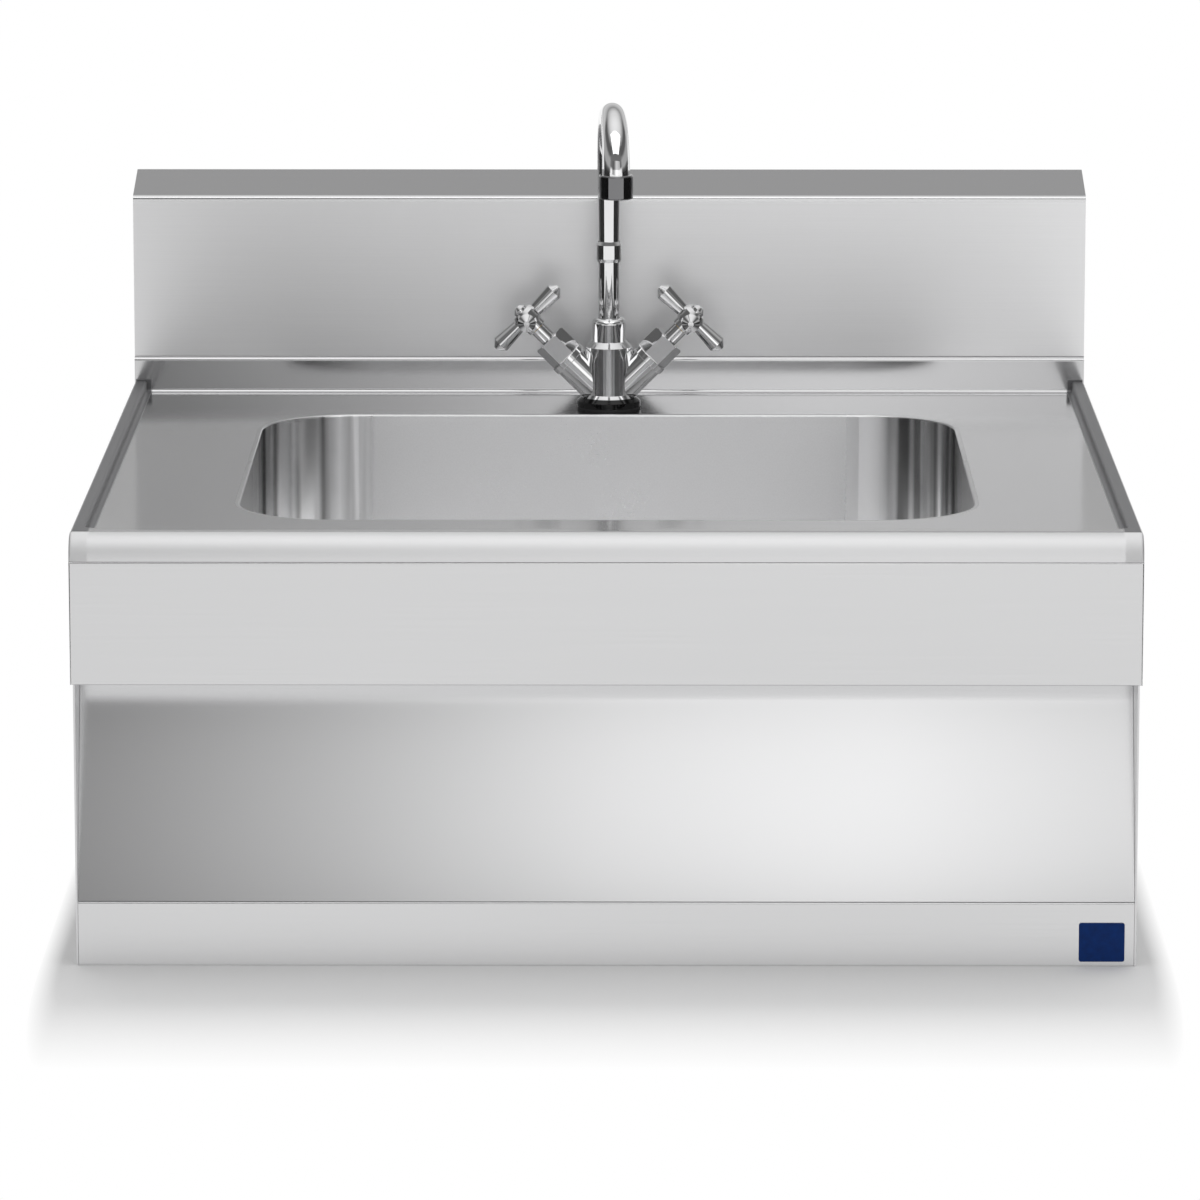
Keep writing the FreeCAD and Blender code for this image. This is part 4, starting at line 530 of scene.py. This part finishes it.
def pressed_sheet(name, steel):
    """Deep-drawn steel: a fine satin, with draw marks down its rear corners whose dark streaks are painted
    reflection, painted shade on its ends, a darker floor, and a pale tone of painted light.
    """
    material, nodes, shader, place = new_finish(name, Metallic=1.0)
    colour, roughness = steel.bowl_painted_light, steel.bowl_roughness
    satin = nodes.noise(place, scale=900.0, detail=2.0)
    waves = nodes.noise(place, scale=14.0, detail=1.0)
    nodes.link(nodes.tones(satin, shade(colour, 0.97), shade(colour, 1.02)), shader.inputs["Base Color"])
    mottled = nodes.sums("ADD", satin, waves)
    polish = nodes.spread(mottled, roughness * 0.9, roughness * 1.1, start=0.6, end=1.4)
    nodes.link(polish, shader.inputs["Roughness"])
    stretch = nodes.add("ShaderNodeMapping", {"Scale": (1 / steel.draw_pitch, 1 / steel.draw_pitch, 1.5)})
    nodes.link(place, stretch.inputs["Vector"])
    marks = nodes.noise(stretch.outputs["Vector"], scale=1.0, detail=1.5, share=0.5)
    spot = nodes.add("ShaderNodeSeparateXYZ")
    nodes.link(place, spot.inputs["Vector"])
    low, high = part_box("bowl")
    reach = nodes.sums("ABSOLUTE", spot.outputs["X"], 0.0)
    end = nodes.spread(reach, 0.0, 1.0, high[0] - steel.draw_reach, high[0] - steel.draw_reach * 0.85)
    rear = nodes.spread(spot.outputs["Y"], 0.0, 1.0, high[1] - steel.draw_reach * 2.8, high[1] - steel.draw_reach)
    above = nodes.spread(
        spot.outputs["Z"], 0.0, 1.0, low[2] + steel.draw_reach * 0.3, low[2] + steel.draw_reach * 0.8)
    corner = nodes.sums("MULTIPLY", nodes.sums("MULTIPLY", end, rear), above)
    # Painted shade: the end walls, above the floor, are darkened to a share of the bowl's tone
    wall = nodes.spread(reach, 0.0, 1.0, high[0] - steel.draw_reach * 0.4, high[0] - steel.draw_reach * 0.1)
    nodes.blend(nodes.sums("MULTIPLY", wall, above), shader.inputs["Base Color"], (*shade(colour, END_SHADE_SHARE), 1))
    # The draw marks' dark streaks are painted reflection, dark bands down the rear corners; the smoother polish there
    # is the marks' own
    drawn = nodes.tones(marks, shade(colour, MARK_REFLECTION_SHARE), colour, start=0.37, end=0.55)
    nodes.blend(corner, shader.inputs["Base Color"], drawn)
    nodes.blend(corner, shader.inputs["Roughness"], roughness * CORNER_POLISH)
    sole = nodes.spread(
        spot.outputs["Z"], 1.0, 0.0, low[2] + steel.draw_reach * 0.1, low[2] + steel.draw_reach * 0.4)
    nodes.blend(sole, shader.inputs["Base Color"], (*shade(colour, FLOOR_SHARE), 1))
    lip = nodes.spread(spot.outputs["Z"], 0.0, 1.0, high[2] - steel.lip_depth, high[2] - steel.lip_depth * 0.5)
    nodes.blend(lip, shader.inputs["Base Color"], (*steel.worktop_colour, 1))
    nodes.link(nodes.relief(waves, depth=0.0003, share=0.25), shader.inputs["Normal"])
    return material


def plated(name, colour, roughness, foot=None):
    """Polished plating over cast brass, with the faint orange peel of the polish, and painted shade, nearly black,
    below the foot's height.
    """
    material, nodes, shader, place = new_finish(name, Metallic=1.0)
    peel = nodes.noise(place, scale=160.0, detail=2.0)
    film = nodes.noise(place, scale=40.0, detail=3.0)
    nodes.link(nodes.tones(film, shade(colour, 0.97), shade(colour, 1.02)), shader.inputs["Base Color"])
    nodes.link(nodes.spread(film, roughness * 0.5, roughness * 1.5, start=0.3, end=0.7), shader.inputs["Roughness"])
    nodes.link(nodes.relief(peel, depth=0.00004, share=0.25), shader.inputs["Normal"])
    if foot:
        rise = nodes.add("ShaderNodeSeparateXYZ")
        nodes.link(place, rise.inputs["Vector"])
        # Painted shade: the plating turns nearly black below the foot's height
        black = nodes.spread(rise.outputs["Z"], 1.0, 0.0, foot - FOOT_EDGE, foot)
        nodes.blend(black, shader.inputs["Base Color"], (*shade(colour, FOOT_SHADE_SHARE), 1))
    return material


def turned_metal(name, colour, roughness):
    """Machined metal with fine tool marks round an upright axis and a dull film."""
    material, nodes, shader, place = new_finish(name, Metallic=1.0)
    marks = nodes.add("ShaderNodeTexWave", {"Scale": 420.0, "Distortion": 0.6, "Detail": 2.0},
                      wave_type="BANDS", bands_direction="Z")
    nodes.link(place, marks.inputs["Vector"])
    film = nodes.noise(place, scale=60.0, detail=4.0)
    nodes.link(nodes.tones(film, shade(colour, 0.80), colour), shader.inputs["Base Color"])
    nodes.link(nodes.spread(film, roughness * 0.7, roughness * 1.3, start=0.3, end=0.7), shader.inputs["Roughness"])
    nodes.link(nodes.relief(marks.outputs["Fac"], depth=0.00003, share=0.4), shader.inputs["Normal"])
    return material


def moulded(name, colour, roughness, grain_scale, grain_depth):
    """Moulded plastic, rubber or fired clay: an even body colour with a fine skin."""
    material, nodes, shader, place = new_finish(name)
    skin = nodes.noise(place, scale=grain_scale, detail=3.0)
    flow = nodes.noise(place, scale=30.0, detail=2.0)
    nodes.link(nodes.tones(flow, shade(colour, 0.88), shade(colour, 1.06)), shader.inputs["Base Color"])
    nodes.link(nodes.spread(skin, roughness * 0.85, roughness * 1.15, start=0.3, end=0.7), shader.inputs["Roughness"])
    nodes.link(nodes.relief(skin, depth=grain_depth, share=0.5), shader.inputs["Normal"])
    return material


def enamel(name, colour):
    """Smooth printed enamel with a slight sheen."""
    material, nodes, shader, place = new_finish(name, Specular_IOR_Level=0.12)
    flow = nodes.noise(place, scale=220.0, detail=3.0)
    nodes.link(nodes.tones(flow, shade(colour, 0.85), shade(colour, 1.15)), shader.inputs["Base Color"])
    nodes.link(nodes.spread(flow, 0.38, 0.50, start=0.3, end=0.7), shader.inputs["Roughness"])
    nodes.link(nodes.relief(flow, depth=0.00003, share=0.3), shader.inputs["Normal"])
    return material


def dress(names, material):
    """Gives each named piece the finish."""
    for name in names:
        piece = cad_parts[name]
        if not piece.material_slots:
            piece.data.materials.append(material)
        for place in piece.material_slots:
            place.material = material


class BASIN_OT_worktop(bpy.types.Operator):
    """Brushes the worktop and its splashback along their length"""

    bl_idname = "basin.worktop"
    bl_label = "Worktop and splashback"

    def execute(self, context):
        steel = context.scene.basin_steel
        dress(WORKTOP, worktop_sheet("worktop_steel", steel))
        dress(SPLASH, splash_sheet("splash_steel", steel))
        dress(SPLASH_ENDS, brushed_sheet("splash_end_steel", steel.colour, steel.splash_roughness, ALONG_Z, steel))
        return {"FINISHED"}


class BASIN_OT_bowl(bpy.types.Operator):
    """Gives the pressed bowl its satin, its draw marks, and its painted light and shade"""

    bl_idname = "basin.bowl"
    bl_label = "Bowl"

    def execute(self, context):
        steel = context.scene.basin_steel
        dress(["bowl"], pressed_sheet("bowl_steel", steel))
        return {"FINISHED"}


class BASIN_OT_casing(bpy.types.Operator):
    """Brushes the folded panels of the casing"""

    bl_idname = "basin.casing"
    bl_label = "Casing"

    def execute(self, context):
        steel = context.scene.basin_steel
        rough = steel.casing_roughness
        dress(FASCIA, fascia_sheet("fascia_steel", steel))
        dress(RAIL, brushed_sheet("casing_steel", steel.colour, rough, ALONG_X, steel))
        dress(PANEL, brushed_sheet("panel_steel", steel.colour, steel.panel_roughness, ALONG_X, steel))
        dress(CASING_SIDES, brushed_sheet("cheek_steel", steel.colour, steel.cheek_roughness, ALONG_Y, steel))
        dress(CASING_BACK, brushed_sheet("hidden_steel", steel.hidden_colour, rough, ALONG_X, steel))
        return {"FINISHED"}


class BASIN_OT_waste(bpy.types.Operator):
    """Finishes the waste fitting under the bowl"""

    bl_idname = "basin.waste"
    bl_label = "Waste"

    def execute(self, context):
        steel = context.scene.basin_steel
        trim = context.scene.basin_trim
        dress(WASTE_STEEL, turned_metal("waste_steel", steel.colour, roughness=0.22))
        dress(WASTE_PLASTIC, moulded("waste_plastic", trim.plastic, roughness=0.42, grain_scale=700.0,
                                     grain_depth=0.00004))
        return {"FINISHED"}


class BASIN_OT_mixer(bpy.types.Operator):
    """Plates the tap, its spout and its two handles"""

    bl_idname = "basin.mixer"
    bl_label = "Mixer"

    def execute(self, context):
        mixer = context.scene.basin_mixer
        trim = context.scene.basin_trim
        dress(CHROME, plated("tap_chrome", mixer.chrome, mixer.chrome_roughness))
        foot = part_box("tap_body")[0][2] + mixer.foot_shade_height
        dress(TAP_BODY, plated("body_chrome", mixer.chrome, mixer.chrome_roughness, foot))
        # Painted reflection: the nozzle takes a dark plating in place of the dark surroundings it mirrors
        dress(NOZZLE, plated("nozzle_painted_dark_chrome", mixer.nozzle, mixer.chrome_roughness))
        dress(["aerator_insert"], moulded("aerator_plastic", trim.insert, roughness=0.45, grain_scale=900.0,
                                          grain_depth=0.00003))
        return {"FINISHED"}


class BASIN_OT_fixings(bpy.types.Operator):
    """Finishes the seals, discs, nuts, tails and screws"""

    bl_idname = "basin.fixings"
    bl_label = "Seals and fixings"

    def execute(self, context):
        mixer = context.scene.basin_mixer
        trim = context.scene.basin_trim
        steel = context.scene.basin_steel
        dress(BRASS, turned_metal("tap_brass", mixer.brass, roughness=0.30))
        dress(COPPER, turned_metal("tail_copper", mixer.copper, roughness=0.28))
        dress(SCREWS, turned_metal("screw_steel", steel.hidden_colour, roughness=0.28))
        dress(RUBBER, moulded("seal_rubber", trim.rubber, roughness=0.62, grain_scale=500.0,
                              grain_depth=0.00008))
        dress(CERAMIC, moulded("valve_ceramic", trim.ceramic, roughness=0.18, grain_scale=900.0,
                               grain_depth=0.00002))
        return {"FINISHED"}


class BASIN_OT_badge(bpy.types.Operator):
    """Enamels the plain plate on the bottom rail"""

    bl_idname = "basin.badge"
    bl_label = "Badge plate"

    def execute(self, context):
        dress(["badge_plate"], enamel("badge_enamel", context.scene.basin_trim.badge))
        return {"FINISHED"}


def lay_floor(stage):
    """A plain pale floor that keeps the shadow near the unit's front; further off, much sooner beside the unit and
    sooner in the metal, it glows white, which is painted light over the rest of its shadow.
    """
    half = stage.floor_span / 2
    mesh = bpy.data.meshes.new("floor")
    corners = [(-half, -half, 0), (half, -half, 0), (half, half, 0), (-half, half, 0)]
    mesh.from_pydata(corners, [], [range(len(corners))])
    floor = bpy.data.objects.new("floor", mesh)
    bpy.context.scene.collection.objects.link(floor)
    material, nodes, shader, place = new_finish("pale_floor", Roughness=1.0, Specular_IOR_Level=0.0)
    grain = nodes.noise(place, scale=3.0, detail=2.0)
    pale = (stage.floor_tone,) * 3
    nodes.link(nodes.tones(grain, shade(pale, 0.998), pale), shader.inputs["Base Color"])
    spot = nodes.add("ShaderNodeSeparateXYZ")
    nodes.link(place, spot.inputs["Vector"])
    outside = nodes.add("ShaderNodeCombineXYZ")
    for axis, size, share in (("X", CAD_BOX[1][0], stage.white_squeeze), ("Y", CAD_BOX[1][1], 1.0)):
        reach = nodes.sums("ABSOLUTE", spot.outputs[axis], 0.0)
        beyond = nodes.sums("MAXIMUM", nodes.sums("SUBTRACT", reach, size), 0.0)
        nodes.link(nodes.sums("MULTIPLY", beyond, share), outside.inputs[axis])
    # Painted light: past these distances the floor glows white over its own shadow
    way = nodes.add("ShaderNodeVectorMath", operation="LENGTH")
    nodes.link(outside.outputs["Vector"], way.inputs["Vector"])
    path = nodes.add("ShaderNodeLightPath")
    mirrored = nodes.sums("MAXIMUM", path.outputs["Is Glossy Ray"], path.outputs["Is Transmission Ray"])
    sooner = nodes.sums("MULTIPLY", mirrored, stage.white_sooner)
    away = nodes.spread(nodes.sums("ADD", way.outputs["Value"], sooner), 0.0, 1.0, stage.white_from, stage.white_to)
    seen = nodes.sums("MAXIMUM", path.outputs["Is Camera Ray"], mirrored)
    white = nodes.add("ShaderNodeEmission")
    mix = nodes.add("ShaderNodeMixShader")
    nodes.link(nodes.sums("MULTIPLY", seen, away), mix.inputs[0])
    nodes.link(shader.outputs["BSDF"], mix.inputs[1])
    nodes.link(white.outputs["Emission"], mix.inputs[2])
    nodes.link(mix.outputs["Shader"], material.node_tree.nodes["Material Output"].inputs["Surface"])
    mesh.materials.append(material)


def light_room(stage):
    """Even light from all round, white to the camera, with a studio's tones for the metal to mirror."""
    world = bpy.data.worlds.new("room")
    bpy.context.scene.world = world
    world.use_nodes = True
    nodes = Nodes(world.node_tree)
    sky = world.node_tree.nodes["Background"]
    sky.inputs["Color"].default_value = (1, 1, 1, 1)
    way = nodes.add("ShaderNodeSeparateXYZ")
    nodes.link(nodes.add("ShaderNodeTexCoord").outputs["Generated"], way.inputs["Vector"])
    round_about = None
    for tones, (near, far) in ((FRONT_TONES, FRONT_STARTS), (SIDE_TONES, SIDE_STARTS), (BACK_TONES, BACK_STARTS)):
        ramp = nodes.add("ShaderNodeValToRGB")
        nodes.link(way.outputs["Z"], ramp.inputs["Fac"])
        shape_ramp(ramp.color_ramp, tones)
        further = nodes.add("ShaderNodeMix", data_type="FLOAT")
        nodes.link(nodes.spread(way.outputs["Y"], 0.0, 1.0, near, far), further.inputs["Factor"])
        nodes.link(round_about or ramp.outputs["Color"], further.inputs["A"])
        nodes.link(ramp.outputs["Color"], further.inputs["B"])
        round_about = further.outputs["Result"]
    path = nodes.add("ShaderNodeLightPath")
    mirrored = nodes.sums("MAXIMUM", path.outputs["Is Glossy Ray"], path.outputs["Is Transmission Ray"])
    lit = nodes.add("ShaderNodeMix", {"A": stage.room_level}, data_type="FLOAT")
    nodes.link(mirrored, lit.inputs["Factor"])
    nodes.link(nodes.sums("MULTIPLY", round_about, stage.mirror_level), lit.inputs["B"])
    seen = nodes.add("ShaderNodeMix", {"B": 1.0}, data_type="FLOAT")
    nodes.link(path.outputs["Is Camera Ray"], seen.inputs["Factor"])
    nodes.link(lit.outputs["Result"], seen.inputs["A"])
    nodes.link(seen.outputs["Result"], sky.inputs["Strength"])


def stand_board(name, foot, head, material):
    """An upright board from one corner to another."""
    low, high = Vector(foot), Vector(head)
    hang_board(name, [low, (high.x, high.y, low.z), high, (low.x, low.y, high.z)], material)


def hang_board(name, corners, material):
    """A flat board, which the camera and dull surfaces don't see."""
    mesh = bpy.data.meshes.new(name)
    mesh.from_pydata(corners, [], [range(len(corners))])
    mesh.materials.append(material)
    board = bpy.data.objects.new(name, mesh)
    board.visible_camera = False
    board.visible_diffuse = False
    board.visible_shadow = False
    bpy.context.scene.collection.objects.link(board)


def dull_cloth(name, tone):
    """Cloth of a plain grey."""
    material, nodes, shader, place = new_finish(name, Roughness=1.0, Specular_IOR_Level=0.0)
    weave = nodes.noise(place, scale=40.0, detail=2.0)
    grey = (tone,) * 3
    nodes.link(nodes.tones(weave, shade(grey, 0.9), grey), shader.inputs["Base Color"])
    return material


def stand_card(stage):
    """A bright card in front, paler to the right, which the panel and the deck mirror."""
    material, nodes, shader, place = new_finish(
        "lit_card", Roughness=1.0, Specular_IOR_Level=0.0, Base_Color=(0, 0, 0, 1))
    half = stage.card_wide / 2
    spot = nodes.add("ShaderNodeSeparateXYZ")
    nodes.link(place, spot.inputs["Vector"])
    ramp = nodes.add("ShaderNodeValToRGB")
    nodes.link(nodes.spread(spot.outputs["X"], 0.0, 1.0, -half, half), ramp.inputs["Fac"])
    shape_ramp(ramp.color_ramp, CARD_TONES)
    nodes.link(ramp.outputs["Color"], shader.inputs["Emission Color"])
    level = nodes.add("ShaderNodeMapRange", {
        "From Min": stage.card_step - CARD_BLUR, "From Max": stage.card_step + CARD_BLUR,
        "To Min": stage.card_level})
    nodes.link(spot.outputs["Z"], level.inputs["Value"])
    dimmed = nodes.spread(
        spot.outputs["X"], stage.card_level * stage.card_dim_left, stage.card_level * stage.card_dim, -half / 2, 0.0)
    nodes.link(dimmed, level.inputs["To Max"])
    nodes.link(level.outputs["Result"], shader.inputs["Emission Strength"])
    stand_board("front_card", (-half, -stage.card_away, stage.card_low), (half, -stage.card_away, stage.card_high),
                material)


def hang_card(stage):
    """A bright card overhead in front, which the seams and the bowl mirror."""
    material = new_finish("top_card", Roughness=1.0, Specular_IOR_Level=0.0, Base_Color=(0, 0, 0, 1),
                          Emission_Color=(1, 1, 1, 1), Emission_Strength=stage.top_level)[0]
    half = stage.top_wide / 2
    edges = (-half, stage.top_near), (half, stage.top_near), (half, stage.top_far), (-half, stage.top_far)
    hang_board("top_card", [(*edge, stage.top_high) for edge in edges], material)


def stand_flags(stage):
    """Flags at both sides and behind, so that the polished edges show dark against the pale floor."""
    dark = dull_cloth("dark_cloth", stage.flag_tone)
    grey = dull_cloth("grey_cloth", stage.rear_tone)
    for side, sign in (("left", -1), ("right", 1)):
        wide = sign * stage.flag_wide
        stand_board(f"{side}_flag", (wide, stage.flag_near, 0), (wide, stage.flag_far, stage.flag_tall), dark)
        stand_board(f"{side}_rear_flag", (sign * stage.rear_wide, stage.rear_far, 0),
                    (sign * stage.rear_gap, stage.rear_far, stage.rear_tall), grey)


def hang_lamp(stage):
    """A soft lamp overhead of an even brightness, which the metal doesn't mirror."""
    light = bpy.data.lights.new("over_lamp", "AREA")
    light.shape = "RECTANGLE"
    light.size = light.size_y = stage.over_span
    light.energy = stage.over_level * math.pi * stage.over_span ** 2
    lamp = bpy.data.objects.new("over_lamp", light)
    lamp.location = stage.over_place
    lamp.visible_glossy = False
    bpy.context.scene.collection.objects.link(lamp)


def place_camera(stage):
    """The photograph's point of view."""
    camera = bpy.data.cameras.new("camera")
    camera.lens = stage.lens
    viewer = bpy.data.objects.new("camera", camera)
    viewer.location = stage.camera_place
    viewer.rotation_euler = Euler((math.pi / 2 - stage.camera_pitch, 0, stage.camera_yaw))
    bpy.context.scene.collection.objects.link(viewer)
    bpy.context.scene.camera = viewer


class BASIN_OT_stage(bpy.types.Operator):
    """Lays the floor, sets up the light, cards and flags, and places the camera"""

    bl_idname = "basin.stage"
    bl_label = "Stage"

    def execute(self, context):
        stage = context.scene.basin_stage
        lay_floor(stage)
        light_room(stage)
        stand_flags(stage)
        hang_lamp(stage)
        stand_card(stage)
        hang_card(stage)
        place_camera(stage)
        context.scene.view_settings.view_transform = "Standard"
        return {"FINISHED"}


class BASIN_PT_panel(bpy.types.Panel):
    """Lists the finishing steps of the basin unit as buttons"""

    bl_idname = "BASIN_PT_panel"
    bl_label = "Basin unit"
    bl_space_type = "VIEW_3D"
    bl_region_type = "UI"
    bl_category = "Basin"

    def draw(self, context):
        for operator in OPERATORS:
            self.layout.operator(operator.bl_idname)


GROUPS = {
    "basin_steel": BasinSteel,
    "basin_mixer": BasinMixer,
    "basin_trim": BasinTrim,
    "basin_stage": BasinStage,
}
OPERATORS = [
    BASIN_OT_worktop,
    BASIN_OT_bowl,
    BASIN_OT_casing,
    BASIN_OT_waste,
    BASIN_OT_mixer,
    BASIN_OT_fixings,
    BASIN_OT_badge,
    BASIN_OT_stage,
]
CLASSES = [*GROUPS.values(), *OPERATORS, BASIN_PT_panel]


def register():
    for kind in CLASSES:
        bpy.utils.register_class(kind)
    for name, kind in GROUPS.items():
        setattr(bpy.types.Scene, name, PointerProperty(type=kind))


def unregister():
    for name in GROUPS:
        delattr(bpy.types.Scene, name)
    for kind in reversed(CLASSES):
        bpy.utils.unregister_class(kind)


def main():
    register()
    bpy.ops.basin.worktop()
    bpy.ops.basin.bowl()
    bpy.ops.basin.casing()
    bpy.ops.basin.waste()
    bpy.ops.basin.mixer()
    bpy.ops.basin.fixings()
    bpy.ops.basin.badge()
    bpy.ops.basin.stage()


if __name__ == "__main__":
    main()
